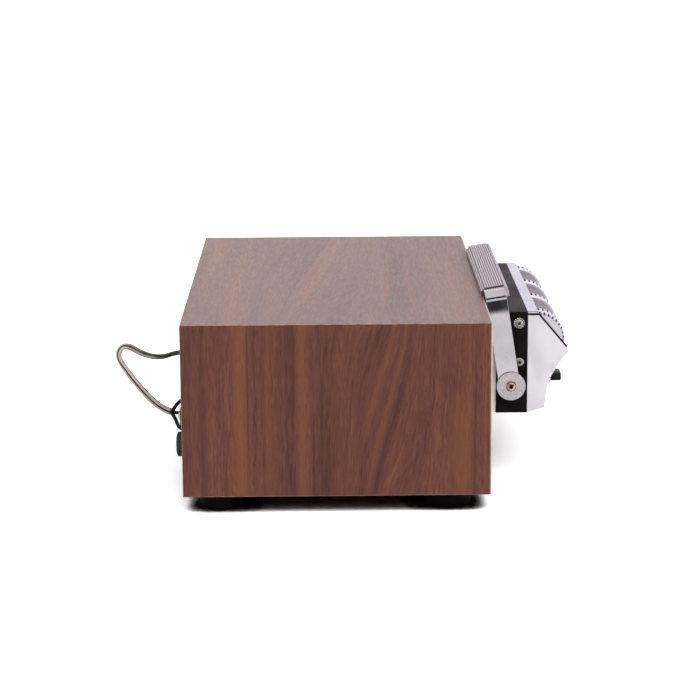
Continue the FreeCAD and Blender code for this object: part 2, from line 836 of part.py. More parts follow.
def dial_shrouds():
    shrouds = []
    for y0, y1, with_controls in shroud_ends():
        drum = rod(shroud_radius, V(wheel_x, y0, wheel_z), V(wheel_x, y1, wheel_z))
        middle = (y0 + y1) / 2
        tab_z = wheel_z + shroud_tab_lift
        tab = box(can_front_x, wheel_x - shroud_radius / 2, middle - shroud_tab_width / 2,
                  middle + shroud_tab_width / 2, tab_z, tab_z + shroud_tab_height)
        drum = joined([drum, tab])
        drum = drum.cut(rod(shroud_radius - shroud_wall, V(wheel_x, y0 + shroud_wall, wheel_z),
                            V(wheel_x, y1 - shroud_wall, wheel_z)))
        if with_controls:
            drum = drum.cut(rod(pot_shaft_hole, V(wheel_x, y0, wheel_z), V(wheel_x, y1, wheel_z)))
        shrouds.append(drum)
    return shrouds


def control_pots():
    pots = []
    for y0, y1, with_controls in shroud_ends():
        if not with_controls:
            continue
        for face_y, way in ((y0 + shroud_wall, along_y), (y1 - shroud_wall, along_y * -1)):
            face = V(wheel_x, face_y, wheel_z)
            body = Part.makeCylinder(pot_radius, pot_depth, face, way)
            bore = Part.makeCylinder(wheel_shaft_radius + running_clearance, pot_bore_depth, face, way)
            pots.append(body.cut(bore))
    return pots


# ================================================================ cartridge bay and door
def cartridge_guide():
    half = bay_half + bay_sheet
    outer = box(bay_rear_x, bay_front_x, -half, half, player_z + slot_low - bay_sheet, deck_under_z)
    inner = box(bay_rear_x, bay_front_x, -bay_half, bay_half, player_z + slot_low, deck_under_z - bay_sheet)
    return outer.cut(inner)


def cartridge_door():
    barrel = rod(door_barrel_radius, V(door_pin_x, -door_half, door_pin_z), V(door_pin_x, door_half, door_pin_z))
    plate = box(door_pin_x - door_sheet / 2, door_pin_x + door_sheet / 2, -door_half, door_half,
                door_pin_z - door_length, door_pin_z)
    door = joined([barrel, plate])
    door.rotate(V(door_pin_x, 0, door_pin_z), along_y, door_tilt)
    return door.cut(rod(door_pin_radius + running_clearance, V(door_pin_x, -door_half, door_pin_z),
                        V(door_pin_x, door_half, door_pin_z)))


def door_pin():
    reach = lug_inner_y + lug_thickness
    return rod(door_pin_radius, V(door_pin_x, -reach, door_pin_z), V(door_pin_x, reach, door_pin_z))


def door_spring():
    helix = Part.makeHelix(spring_pitch, spring_pitch * spring_turns, spring_radius)
    section = Part.Wire(Part.makeCircle(spring_wire, V(spring_radius, 0, 0), along_y))
    coil = Part.Wire(helix.Edges).makePipeShell([section], True, True)
    coil.Placement = FreeCAD.Placement(
        V(door_pin_x, door_half + (lug_space - spring_pitch * spring_turns) / 2 + door_side_gap, door_pin_z),
        FreeCAD.Rotation(along_z, along_y))
    return coil


# ================================================================ program button
def program_button():
    z = player_z + button_height
    cap = box(fascia_x + button_root_out, fascia_x + button_tip_out, button_y - button_width / 2,
              button_y + button_width / 2, z - button_tall / 2, z + button_tall / 2)
    tip = [edge for edge in cap.Edges
           if all(abs(end.X - fascia_x - button_tip_out) < 0.01 for end in edge.Vertexes)]
    return cap.makeFillet(button_tall / 6, tip)


def program_switch():
    z = player_z + button_height
    half_w = button_width / 2 + button_gap + bezel_wall
    half_t = button_tall / 2 + button_gap + bezel_wall
    return box(fascia_x + bezel_rear_out - switch_depth, fascia_x + bezel_rear_out, button_y - half_w,
               button_y + half_w, z - half_t, z + half_t)


# ================================================================ handle
def leaned(shape):
    """Turns a piece of the upright handle back to where it rests."""
    shape.rotate(V(pivot_x, 0, pivot_z), along_y, -handle_lean)
    return shape


def handle_strap():
    """A flat arm that bends in at the top with a round corner, and ends in a tab inside the grip."""
    x0 = pivot_x + strap_offset - strap_width / 2
    x1 = x0 + strap_width
    top = pivot_z + strap_rise
    bend_y = -strap_outer_y + strap_bend
    bend_z = top - strap_bend
    eye = rod(strap_width / 2, V(pivot_x + strap_offset, -strap_outer_y, pivot_z),
              V(pivot_x + strap_offset, -strap_inner_y, pivot_z))
    arm = box(x0, x1, -strap_outer_y, -strap_inner_y, pivot_z, bend_z)
    tab = box(x0, x1, bend_y, -grip_length / 2 + strap_tab, top - strap_thickness, top)
    corner = rod(strap_bend, V(x0, bend_y, bend_z), V(x1, bend_y, bend_z))
    corner = corner.cut(rod(strap_bend - strap_thickness, V(x0, bend_y, bend_z), V(x1, bend_y, bend_z)))
    corner = corner.common(box(x0, x1, -strap_outer_y, bend_y, bend_z, top))
    hole = rod(spigot_radius + running_clearance, V(pivot_x, -strap_outer_y, pivot_z),
               V(pivot_x, -strap_inner_y, pivot_z))
    return leaned(joined([arm, eye, corner, tab]).cut(hole))


def handle_grip():
    top = pivot_z + grip_top
    back = pivot_x - grip_back
    front = pivot_x + grip_front
    lip_back = front - grip_lip_thickness
    crest = [(back, pivot_z + grip_under), (back, top - grip_edge), (back + grip_edge, top)]
    rib_step = (front - back - 2 * grip_edge) / (2 * grip_ribs + 1)
    for rib in range(grip_ribs):
        start = back + grip_edge + (2 * rib + 1) * rib_step
        crest += [(start, top), (start, top + grip_rib_height),
                  (start + rib_step, top + grip_rib_height), (start + rib_step, top)]
    crest += [(front - grip_edge, top), (front, top - grip_edge), (front, pivot_z + grip_lip),
              (lip_back, pivot_z + grip_lip), (lip_back, pivot_z + grip_under)]
    grip = side_plate(side_polygon(crest), -grip_length / 2, grip_length / 2)
    end_y = -grip_length / 2 + grip_notch
    notch = box(back, lip_back, -grip_length / 2, end_y, pivot_z, top + grip_rib_height)
    slot = box(pivot_x + strap_offset - strap_width / 2 - grip_slot_gap,
               pivot_x + strap_offset + strap_width / 2 + grip_slot_gap,
               end_y, -grip_length / 2 + strap_tab + grip_slot_gap,
               pivot_z, pivot_z + strap_rise + grip_slot_gap)
    for cut in (notch, slot):
        grip = grip.cut(cut).cut(mirrored(cut))
    return leaned(grip)


def pivot_bush():
    centre = V(pivot_x, -housing_side_y, pivot_z)
    flange = Part.makeCylinder(bush_radius, bush_length, centre, along_y * -1)
    spigot = Part.makeCylinder(spigot_radius, disc_inner_y - housing_side_y, centre, along_y * -1)
    bore = Part.makeCylinder(pivot_screw_shank + screw_clearance, disc_inner_y, centre, along_y * -1)
    return joined([flange, spigot]).cut(bore)


def pivot_disc():
    start = V(pivot_x, -disc_inner_y, pivot_z)
    disc = Part.makeCylinder(disc_radius, disc_thickness, start, along_y * -1)
    return disc.cut(pilot(start, along_y * -1, pivot_screw_shank, disc_thickness))


def pivot_screw():
    return screw(V(pivot_x, -disc_inner_y - disc_thickness, pivot_z), along_y, pivot_screw_head,
                 pivot_screw_height, pivot_screw_shank, pivot_screw_length)


def housing_screws():
    screws = []
    for index, (x, z) in enumerate(side_screw_places()):
        lift = star_washer_thickness if index == 0 else 0
        one = screw(V(x, -housing_side_y - lift, z), along_y, machine_screw_head, machine_screw_height,
                    machine_screw_shank, machine_screw_length + lift)
        screws += [one, mirrored(one)]
    return screws


def star_washers():
    x, z = side_screw_places()[0]
    points = toothed_polygon(star_washer_radius, star_washer_radius / 6, star_washer_teeth, 0.5)
    face = side_polygon([(x + across, z + up) for across, up in points])
    washer = side_plate(face, -housing_side_y - star_washer_thickness, -housing_side_y)
    washer = washer.cut(pilot(V(x, -housing_side_y - 1, z), along_y, machine_screw_shank, 2))
    return [washer, mirrored(washer)]


# ================================================================ tape drive
def deck_plate():
    x0 = can_rear_x + deck_end_inset
    x1 = can_front_x - deck_end_inset
    half = can_side_y - deck_side_inset
    plate = box(x0, x1, -half, half, deck_under_z, deck_top_z)
    legs = []
    for start in (x0, x1 - deck_leg_width):
        leg = box(start, start + deck_leg_width, -half, -half + deck_sheet, player_z + can_sheet, deck_top_z)
        legs += [leg, mirrored(leg)]
    cam_tab = box(cam_x - cam_tab_width / 2, cam_x + cam_tab_width / 2, cam_tab_y, cam_tab_y + deck_sheet,
                  cam_z - cam_base_radius / 2, deck_top_z)
    deck = joined([plate, cam_tab] + legs)
    deck = deck.cut(rod(cam_shaft_radius + running_clearance, V(cam_x, cam_tab_y, cam_z),
                        V(cam_x, cam_tab_y + deck_sheet, cam_z)))
    deck = deck.cut(Part.makeCylinder(bearing_radius, deck_sheet, V(capstan_x, capstan_y, deck_under_z)))
    return deck.cut(Part.makeCylinder(2 * motor_shaft_radius, deck_sheet, V(motor_x, capstan_y, deck_under_z)))


def drive_motor():
    body = Part.makeCylinder(motor_radius, motor_length, V(motor_x, capstan_y, deck_under_z - motor_length))
    return body.cut(Part.makeCylinder(motor_shaft_radius + running_clearance, motor_bore_depth,
                                      V(motor_x, capstan_y, deck_under_z - motor_bore_depth)))


def motor_pulley():
    shaft = rod(motor_shaft_radius, V(motor_x, capstan_y, deck_under_z - motor_bore_depth + bearing_play),
                V(motor_x, capstan_y, flywheel_z + flywheel_thickness))
    pulley = Part.makeCylinder(pulley_radius, flywheel_thickness, V(motor_x, capstan_y, flywheel_z))
    return joined([shaft, pulley])


def belt_loop(extra):
    """The belt's side view from above: two rounds and the straight runs that touch both."""
    big = flywheel_radius + belt_gap + extra
    small = pulley_radius + belt_gap + extra
    lean = math.asin((big - small) / motor_distance)
    points = []
    for centre_x, radius in ((capstan_x, big), (motor_x, small)):
        for side in (1, -1):
            points.append(V(centre_x - radius * math.sin(lean), capstan_y + side * radius * math.cos(lean), belt_z))
    big_up, big_down, small_up, small_down = points
    edges = [Part.Arc(big_down, V(capstan_x + big, capstan_y, belt_z), big_up).toShape(),
             Part.makeLine(big_up, small_up),
             Part.Arc(small_up, V(motor_x - small, capstan_y, belt_z), small_down).toShape(),
             Part.makeLine(small_down, big_down)]
    return Part.Face(Part.Wire(edges)).extrude(V(0, 0, belt_width))


def drive_belt():
    return belt_loop(belt_thickness).cut(belt_loop(0))


def flywheel():
    wheel_disc = Part.makeCylinder(flywheel_radius, flywheel_thickness, V(capstan_x, capstan_y, flywheel_z))
    capstan = rod(capstan_radius, V(capstan_x, capstan_y, deck_under_z - capstan_reach),
                  V(capstan_x, capstan_y, flywheel_z))
    return joined([wheel_disc, capstan])


def capstan_bearing():
    sleeve = Part.makeCylinder(bearing_radius, bearing_drop + deck_sheet,
                               V(capstan_x, capstan_y, deck_under_z - bearing_drop))
    flange = Part.makeCylinder(bearing_flange_radius, bearing_flange, V(capstan_x, capstan_y, deck_top_z))
    bore = Part.makeCylinder(capstan_radius + running_clearance, bearing_drop + deck_sheet + bearing_flange,
                             V(capstan_x, capstan_y, deck_under_z - bearing_drop))
    return joined([sleeve, flange]).cut(bore)


def guide_pin_places():
    return [V(carriage_x + carriage_depth / 2, head_y + side * guide_pin_spacing / 2, 0) for side in (-1, 1)]


def head_carriage():
    block = box(carriage_x, carriage_x + carriage_depth, head_y - carriage_width / 2,
                head_y + carriage_width / 2, carriage_z, carriage_z + carriage_tall)
    arm = box(carriage_x - carriage_arm_length, carriage_x, head_y - carriage_arm_width / 2,
              head_y + carriage_arm_width / 2, arm_z, arm_z + carriage_arm_thickness)
    piece = joined([block, arm])
    for place in guide_pin_places():
        piece = piece.cut(Part.makeCylinder(guide_pin_radius + running_clearance, carriage_tall,
                                            place + along_z * carriage_z))
    return piece


def tape_head():
    x0 = carriage_x + carriage_depth
    z0 = carriage_z + (carriage_tall - head_tall) / 2
    head = box(x0, x0 + head_depth, head_y - head_width / 2, head_y + head_width / 2, z0, z0 + head_tall)
    front = [edge for edge in head.Edges
             if abs(edge.CenterOfMass.x - x0 - head_depth) < 0.01 and abs(edge.CenterOfMass.y - head_y) > 1]
    return head.makeFillet(head_width / 4, front)


def head_guide_pins():
    return [Part.makeCylinder(guide_pin_radius, deck_height - can_sheet, place + along_z * (player_z + can_sheet))
            for place in guide_pin_places()]


def step_cam():
    """A snail cam: its reach straight up grows evenly as it turns, and it lifts the carriage's arm."""
    steps = 36
    points = []
    for step in range(steps + 1):
        share = step / steps
        angle = math.radians(90 + cam_sweep * share)
        reach = cam_base_radius + cam_rise * share
        points.append((cam_x + reach * math.cos(angle), cam_z + reach * math.sin(angle)))
    snail = side_plate(side_polygon(points + [(cam_x, cam_z)]), head_y - cam_width / 2, head_y + cam_width / 2)
    hub = rod(cam_base_radius, V(cam_x, head_y - cam_width / 2, cam_z), V(cam_x, head_y + cam_width / 2, cam_z))
    shaft = rod(cam_shaft_radius, V(cam_x, head_y, cam_z), V(cam_x, ratchet_y + ratchet_width, cam_z))
    teeth = toothed_polygon(ratchet_radius, ratchet_radius / 5, ratchet_teeth, 0.5)
    face = side_polygon([(cam_x + across, cam_z + up) for across, up in teeth])
    ratchet = side_plate(face, ratchet_y, ratchet_y + ratchet_width)
    return joined([snail, hub, shaft, ratchet])


def solenoid():
    half = solenoid_width / 2
    body = box(solenoid_x, solenoid_x + solenoid_length, plunger_y - half, plunger_y + half,
               plunger_z - half, deck_under_z)
    start = V(solenoid_x + solenoid_length, plunger_y, plunger_z)
    return body.cut(Part.makeCylinder(plunger_radius + running_clearance, plunger_bore + plunger_travel,
                                      start, along_x * -1))


def solenoid_plunger():
    mouth = solenoid_x + solenoid_length
    return rod(plunger_radius, V(mouth - plunger_bore + running_clearance, plunger_y, plunger_z),
               V(mouth + plunger_out, plunger_y, plunger_z))


def amplifier_board():
    x0 = can_rear_x + board_rear_inset
    x1 = x0 + board_length
    y0 = board_inner_y
    y1 = y0 + board_width
    z0 = deck_top_z + board_lift
    z1 = z0 + board_sheet
    pieces = [box(x0, x1, y0, y1, z0, z1)]
    for x in (x0 + 5, x1 - 5):
        for y in (y0 + 5, y1 - 5):
            pieces.append(Part.makeCylinder(3, board_lift, V(x, y, deck_top_z)))
    for index in range(capacitor_count):
        x = x0 + 18 + index * 3 * capacitor_radius
        pieces.append(Part.makeCylinder(capacitor_radius, capacitor_height, V(x, y1 - 16, z1)))
    fin_step = (sink_width - sink_fin) / (sink_fins - 1)
    sink_x = x1 - sink_depth - 10
    pieces.append(box(sink_x, sink_x + 2, y0 + 12, y0 + 12 + sink_width, z1, z1 + sink_tall))
    for index in range(sink_fins):
        y = y0 + 12 + index * fin_step
        pieces.append(box(sink_x, sink_x + sink_depth, y, y + sink_fin, z1, z1 + sink_tall))
    return joined(pieces)


# ================================================================ the nodes
nodes = {
    "cabinet_top": [cabinet_board(2)],
    "cabinet_bottom": [cabinet_floor()],
    "cabinet_side_left": [cabinet_board(1)],
    "cabinet_side_right": [cabinet_board(3)],
    "panel_cleats": panel_cleats(),
    "front_panel": [front_panel()],
    "rear_panel": [rear_panel()],
    "rear_panel_screws": rear_panel_screws(),
    "rubber_feet": rubber_feet(),
    "floor_screws": floor_screws(),
    "terminal_strip": [terminal_strip()],
    "terminal_screws": terminal_screws(),
    "cord_grommet": [cord_grommet()],
    "rear_lead": [rear_lead()],
    "rear_knob": [rear_knob()],
    "rear_pot": [rear_pot()],
    "transformer_core": [transformer_core()],
    "transformer_winding": [transformer_winding()],
    "dock_bracket": [dock_bracket()],
    "chassis_tray": [chassis_tray()],
    "chassis_cover": [chassis_cover()],
    "front_housing": [front_housing()],
    "housing_screws": housing_screws(),
    "star_washers": star_washers(),
    "cheek_right": [cheek()],
    "cheek_left": [mirrored(cheek())],
    "cheek_gaskets": [cheek_gasket(), mirrored(cheek_gasket())],
    "fascia_crown": [fascia_crown()],
    "fascia_lower": [fascia_lower()],
    "volume_wheel": [wheel(0, 1)],
    "bass_wheel": [wheel(1, -1)],
    "treble_wheel": [wheel(2, 1)],
    "balance_wheel": [wheel(3, -1)],
    "dial_shrouds": dial_shrouds(),
    "control_pots": control_pots(),
    "cartridge_guide": [cartridge_guide()],
    "cartridge_door": [cartridge_door()],
    "door_pin": [door_pin()],
    "door_spring": [door_spring()],
    "program_button": [program_button()],
    "program_switch": [program_switch()],
    "handle_strap_right": [handle_strap()],
    "handle_strap_left": [mirrored(handle_strap())],
    "handle_grip": [handle_grip()],
    "pivot_bushes": [pivot_bush(), mirrored(pivot_bush())],
    "pivot_discs": [pivot_disc(), mirrored(pivot_disc())],
    "pivot_screws": [pivot_screw(), mirrored(pivot_screw())],
    "deck_plate": [deck_plate()],
    "drive_motor": [drive_motor()],
    "motor_pulley": [motor_pulley()],
    "drive_belt": [drive_belt()],
    "flywheel": [flywheel()],
    "capstan_bearing": [capstan_bearing()],
    "head_carriage": [head_carriage()],
    "tape_head": [tape_head()],
    "head_guide_pins": head_guide_pins(),
    "step_cam": [step_cam()],
    "solenoid": [solenoid()],
    "solenoid_plunger": [solenoid_plunger()],
    "amplifier_board": [amplifier_board()],
}

os.makedirs("parts", exist_ok=True)
for name, solids in nodes.items():
    shape = solids[0] if len(solids) == 1 else Part.makeCompound(solids)
    shape.exportStep("parts/" + name + ".step")
print(len(nodes), "nodes")
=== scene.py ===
import contextlib
import json
import math

import bmesh
import bpy
from bpy.props import FloatProperty, FloatVectorProperty, IntProperty, PointerProperty
from mathutils import Matrix, Vector


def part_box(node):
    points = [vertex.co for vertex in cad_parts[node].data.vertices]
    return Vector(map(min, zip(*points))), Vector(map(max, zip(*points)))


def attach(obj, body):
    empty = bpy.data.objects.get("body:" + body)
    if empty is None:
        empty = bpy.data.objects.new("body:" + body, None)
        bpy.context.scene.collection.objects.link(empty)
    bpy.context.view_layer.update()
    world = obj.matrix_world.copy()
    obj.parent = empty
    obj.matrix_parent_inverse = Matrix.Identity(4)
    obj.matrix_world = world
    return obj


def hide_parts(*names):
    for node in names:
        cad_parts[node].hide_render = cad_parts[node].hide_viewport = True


bl_info = {
    "name": "Docked tape player",
    "version": (1, 0, 0),
    "blender": (4, 5, 0),
    "location": "View3D > Sidebar > Tape player",
    "description": "Dresses the frame of a cartridge tape player docked in a wooden cabinet",
    "category": "Object",
}

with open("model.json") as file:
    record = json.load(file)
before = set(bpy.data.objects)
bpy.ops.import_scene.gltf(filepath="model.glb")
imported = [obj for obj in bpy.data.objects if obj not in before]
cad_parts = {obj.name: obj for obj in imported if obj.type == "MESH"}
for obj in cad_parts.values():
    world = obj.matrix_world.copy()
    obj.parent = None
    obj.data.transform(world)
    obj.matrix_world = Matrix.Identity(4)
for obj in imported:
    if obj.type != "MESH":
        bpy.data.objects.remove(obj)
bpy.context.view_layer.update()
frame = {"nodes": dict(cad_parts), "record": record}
NODES = frame["nodes"]
RECORD = frame["record"]
BODY_OF = {node: body for body, names in RECORD["behaviour"]["bodies"].items() for node in names}
SLOT_OF = {piece["node"]: piece["material_slot"] for piece in RECORD["subparts"]}
X, Y, Z = Vector((1, 0, 0)), Vector((0, 1, 0)), Vector((0, 0, 1))
TOUCHING = 2e-6  # points nearer to each other than this are one point


# ================================================================ settings
def colour(red, green, blue):
    """A colour from its 0 to 255 screen values, as the shaders take it: the screen's own curve undone."""
    straight_below, straight, lift, power = 11, 255 * 12.92, 0.055, 2.4
    return tuple(c / straight if c < straight_below else ((c / 255 + lift) / (1 + lift)) ** power
                 for c in (red, green, blue))


def tint(name, about, red, green, blue):
    return FloatVectorProperty(name=name, description=about, subtype="COLOR", size=3, min=0, max=1,
                               default=colour(red, green, blue))


def length(name, about, millimetres):
    return FloatProperty(name=name, description=about, default=millimetres / 1000, min=0,
                         unit="LENGTH", subtype="DISTANCE", precision=5)


def amount(name, about, default, lowest=0):
    return FloatProperty(name=name, description=about, default=default, min=lowest)


class WoodSettings(bpy.types.PropertyGroup):
    """The walnut veneer of the cabinet."""
    dark: tint("Dark streaks", "Colour of the darkest grain", 74, 44, 42)
    middle: tint("Ground", "Colour of most of the veneer", 105, 65, 55)
    light: tint("Light streaks", "Colour of the orange-brown grain", 128, 82, 56)
    # painted highlight: the paler colour that the veneer's rounded corners take in place of the light catching them
    worn: tint("Worn edge", "Colour of the veneer's rubbed corners", 176, 142, 124)
    corner: length("Corner", "Rounding of the boards' corners", 0.45)


class MetalSettings(bpy.types.PropertyGroup):
    """The plated, painted and bare metal."""
    silver: tint("Silver", "Satin silver of the cheeks", 226, 220, 226)
    crown: tint("Crown", "Satin silver of the strip above the thumbwheels", 212, 208, 224)
    turned: tint("Turned discs", "The discs on the handle's pivots", 189, 183, 186)
    chrome: tint("Chrome", "Plated straps of the handle", 196, 191, 194)
    black: tint("Black enamel", "Paint of the front housing", 18, 12, 15)
    cream: tint("Cream enamel", "Paint of the player's can", 244, 236, 230)
    zinc: tint("Zinc", "Plated sheet of the chassis", 178, 174, 166)
    nickel: tint("Nickel", "Screws and pins", 236, 228, 216)
    brown_nickel: tint("Dull nickel", "The pivot screws", 214, 188, 166)
    # dirt and painted shade: the dark brown of a screw's cross recess and of the ring round its seat
    recess: tint("Recess", "The dirty cross in a screw's head", 40, 26, 18)
    brass: tint("Brass", "Terminal screws", 226, 204, 156)
    corner: length("Corner", "Rounding of the sheet metal's corners", 0.4)


class PlasticSettings(bpy.types.PropertyGroup):
    """The moulded pieces."""
    wheel: tint("Thumbwheel", "Silvered rims of the thumbwheels", 224, 221, 234)
    drum: tint("Drum", "The grey drums between the thumbwheels", 116, 106, 111)
    grip: tint("Grip", "Ribs of the handle's grip", 185, 173, 181)
    # painted shade: the darker colour between the grip's ribs and on its notches' walls
    groove: tint("Groove", "Grooves between the grip's ribs", 84, 74, 79)
    black: tint("Black", "Knob, button and terminal strip", 30, 26, 27)
    rubber: tint("Rubber", "Feet and belt", 15, 12, 12)


class WheelSettings(bpy.types.PropertyGroup):
    """The four thumbwheels."""
    teeth: IntProperty(name="Teeth", description="Teeth round each thumbwheel", default=36, min=6, max=90)
    depth: length("Tooth depth", "How far the teeth stand up", 1.5)
    tooth: length("Tooth width", "Width of a tooth round the rim", 2.1)
    reach: length("Tooth length", "Length of the left row of teeth", 8.0)
    end_reach: length("End tooth length", "Length of the first wheel's right row", 3.5)


class GripSettings(bpy.types.PropertyGroup):
    """The handle's grip and its place on the pivots."""
    ribs: IntProperty(name="Ribs", description="Ribs along the grip", default=8, min=1, max=30)
    rise: length("Rise", "Height of the grip's face above the pivot", 70.0)
    front: length("Front", "The grip's front edge, ahead of the pivot", 9.0)
    back: length("Back", "The grip's rear edge, behind the pivot", 10.4)
    edge: length("Edge", "Chamfer along the grip", 2.6)
    long: length("Ribs' length", "Length of the ribs along the grip's lip", 183.6)
    short: length("Top ribs' length", "Length of the ribs between the two notches", 169.8)
    lean: FloatProperty(name="Lean", description="How far the handle leans back", default=math.radians(8.8),
                        unit="ROTATION", subtype="ANGLE")


class LeadSettings(bpy.types.PropertyGroup):
    """The flat two-wire lead behind the cabinet."""
    width: length("Width", "Across both wires", 5.0)
    wire: length("Wire", "Thickness of one wire's cover", 2.5)
    tail: length("Tail", "Thickness of one wire where the two part", 2.7)
    real: length("Length", "The lead's length from the grommet to the terminals", 124.8)
    # painted reflection: the pale colour of the lead's broad side where it faces the near side; the vinyl itself is
    # the side colour
    face: tint("Face", "The lead's broad side", 204, 190, 188)
    side: tint("Side", "The lead's edges and its wires", 44, 30, 26)


class StageSettings(bpy.types.PropertyGroup):
    """Floor, light and camera."""
    floor: tint("Floor", "The pale floor", 236, 236, 238)
    sky: amount("Sky", "Strength of the light from all round", 0.2)
    above: amount("Overhead light", "Strength of the soft light from above", 0.3)
    front: amount("Front light", "Strength of the soft light above the camera", 2.6)
    sides: amount("Side lights", "Strength of the soft lights at both ends", 0.5)
    focal: amount("Focal length", "Lens of the camera in millimetres", 113.143, 1)


SETTINGS = {
    "wood": WoodSettings, "metal": MetalSettings, "plastic": PlasticSettings, "wheels": WheelSettings,
    "grip": GripSettings, "lead": LeadSettings, "stage": StageSettings,
}


def chosen(name):
    """The values of one group of settings."""
    return getattr(bpy.context.scene, "player_" + name)


# ================================================================ node building
class Wire:
    """What comes out of a node. A sum written with it becomes further nodes of the same tree."""

    def __init__(self, socket):
        self.socket, self.tree = socket, socket.id_data

    def maths(self, operation, other=None, clamp=False):
        values = {0: self} if other is None else {0: self, 1: other}
        return add(self.tree, "ShaderNodeMath", values, operation=operation, use_clamp=clamp)[0]

    def __add__(self, other):
        return self.maths("ADD", other)

    def __sub__(self, other):
        return self.maths("SUBTRACT", other)

    def __mul__(self, other):
        return self.maths("MULTIPLY", other)

    def __truediv__(self, other):
        return self.maths("DIVIDE", other)

    def span(self, low, high, to_low=0.0, to_high=1.0):
        """The value eased from one span to another, and held at its ends."""
        return add(self.tree, "ShaderNodeMapRange", {0: self, 1: low, 2: high, 3: to_low, 4: to_high},
                   interpolation_type="SMOOTHSTEP")[0]

    def blend(self, first, second):
        """The first colour where this is 0, the second one where it is 1."""
        return add(self.tree, "ShaderNodeMix", {0: self, 6: first, 7: second}, data_type="RGBA")[2]


class Outputs:
    """The outputs of a node, each handed out as a Wire by its name or its number."""

    def __init__(self, node):
        self.sockets, self.tree = node.outputs, node.id_data

    def __getitem__(self, key):
        return Wire(self.sockets[key])


def fill(sockets, values):
    """Links the wires among the values to their sockets, a list of them to one socket, and sets the other sockets."""
    for key, value in values.items():
        socket = sockets[key]
        for one in value if isinstance(value, list) else [value]:
            if isinstance(one, Wire):
                one.tree.links.new(one.socket, socket)
            elif socket.type == "RGBA" and len(one) == 3:
                socket.default_value = (*one, 1)
            else:
                socket.default_value = one


def add(tree, kind, values=None, **settings):
    """Adds a node, sets what it holds, and links or fills its sockets."""
    made = tree.nodes.new(kind)
    for key, value in settings.items():
        setattr(made, key, value)
    fill(made.inputs, values or {})
    return Outputs(made)


def combine(x=0.0, y=0.0, z=0.0):
    tree = next(value.tree for value in (x, y, z) if isinstance(value, Wire))
    return add(tree, "ShaderNodeCombineXYZ", {0: x, 1: y, 2: z})[0]


def noise(vector, scale=1.0, detail=2.0, roughness=0.5):
    return add(vector.tree, "ShaderNodeTexNoise", {"Vector": vector, "Scale": scale, "Detail": detail,
                                                   "Roughness": roughness})[0]


def bell(value, place, width):
    """1 at a place, falling off softly over a width on both sides of it."""
    away = (value - place) / width
    return (away * away * -1.0).maths("EXPONENT")


def node_group(tree_kind, name, build, takes, gives):
    """A node group, built when it is first asked for. Its sockets are rows of one kind and the names of that kind."""
    if name in bpy.data.node_groups:
        return bpy.data.node_groups[name]
    tree = bpy.data.node_groups.new(name, tree_kind)
    for way, rows in (("INPUT", takes), ("OUTPUT", gives)):
        for kind, *labels in rows:
            for label in labels:
                tree.interface.new_socket(label, in_out=way, socket_type="NodeSocket" + kind)
    fill(tree.nodes.new("NodeGroupOutput").inputs, build(Outputs(tree.nodes.new("NodeGroupInput"))))
    return tree


# ================================================================ shader groups
def walnut_figure(come):
    """Streaks, arcs and pores of walnut veneer, from how far across and along the grain a point is."""
    lean = bell(come["Across"], come["Lean Place"], come["Lean Width"]) * come["Lean"] * come["Along"]
    wander = noise(combine(come["Across"] * 7.0, come["Along"] * 3.0, come["Seed"]), 1.0, 1.0)
    across = come["Across"] - lean + (wander - 0.5) * 0.014

    def streaks(fine, long, shift, detail=2.0):
        return noise(combine(across * fine, come["Along"] * long, come["Seed"] + shift), 1.0, detail, 0.55)

    broad, narrow = streaks(46.0, 2.4, 3.0), streaks(230.0, 9.0, 7.0)
    hair, warm = streaks(850.0, 75.0, 11.0), streaks(60.0, 1.4, 23.0)
    pores = streaks(1500.0, 150.0, 17.0, 1.0).span(0.52, 0.70)
    tone = broad * 0.42 + narrow * 0.24 + hair * 0.34
    ground = tone.span(0.32, 0.54).blend(come["Dark"], come["Middle"])
    ground = tone.span(0.50, 0.68).blend(ground, come["Light"])
    ground = (warm.span(0.50, 0.70) * 0.30).blend(ground, come["Light"])
    return {"Color": (pores * 0.40).blend(ground, come["Dark"]), "Height": hair * 0.6 - pores * 0.5,
            "Roughness": hair.span(0.3, 0.7, 0.36, 0.50), "Across": across}


def wood_streak(come):
    """One soft-edged streak along the grain, over a part of the board's length."""
    inside = (come["Along"] - come["From"]).maths("MINIMUM", come["To"] - come["Along"])
    side = bell(come["Across"], come["Place"], come["Half Width"])
    return {"Mask": side * inside.span(-0.008, 0.016) * come["Strength"]}


def moulded_skin(come):
    """The fine pebble and the faint cloudiness of moulded plastic, rubber and enamel."""
    place, pebble = come["Vector"], come["Pebble"]
    return {"Height": noise(place, pebble, 2.0, 0.6),
            "Cloud": noise(place, come["Cloud"], 3.0, 0.55).span(0.32, 0.68),
            "Specks": noise(place, pebble * 0.45, 1.0).span(0.68, 0.76)}


def brushed_scuffs(come):
    """Fine brushing along one direction, with stray scratches and rubbed patches, for sheet metal."""
    place = come["Vector"]

    def stretched(spot, by):
        return add(come.tree, "ShaderNodeVectorMath", {0: spot, 1: by}, operation="MULTIPLY")[0]

    aslant = add(come.tree, "ShaderNodeVectorRotate", {"Vector": place, "Axis": (0.3, 1.0, 0.2), "Angle": 0.9})[0]
    scratch = noise(stretched(aslant, (2600.0, 700.0, 60.0)), 1.0, 1.0).span(0.66, 0.74)
    return {"Height": noise(stretched(place, come["Stretch"]), come["Scale"], 3.0, 0.6),
            "Scratch": scratch * noise(place, 120.0, 1.0).span(0.5, 0.65),
            "Patch": noise(place, 55.0, 4.0, 0.6).span(0.35, 0.65)}


def rubbed_corner(come):
    """Where a corner takes its corner colour, which is wear on some pieces and painted light on others: the corner's
    own mark, broken up so that it isn't even.
    """
    broken = noise(come["Vector"], come["Scale"], 3.0, 0.6).span(0.30, 0.62, 0.35, 1.0)
    return {"Mask": come["Corner"].maths("MULTIPLY", broken, clamp=True)}


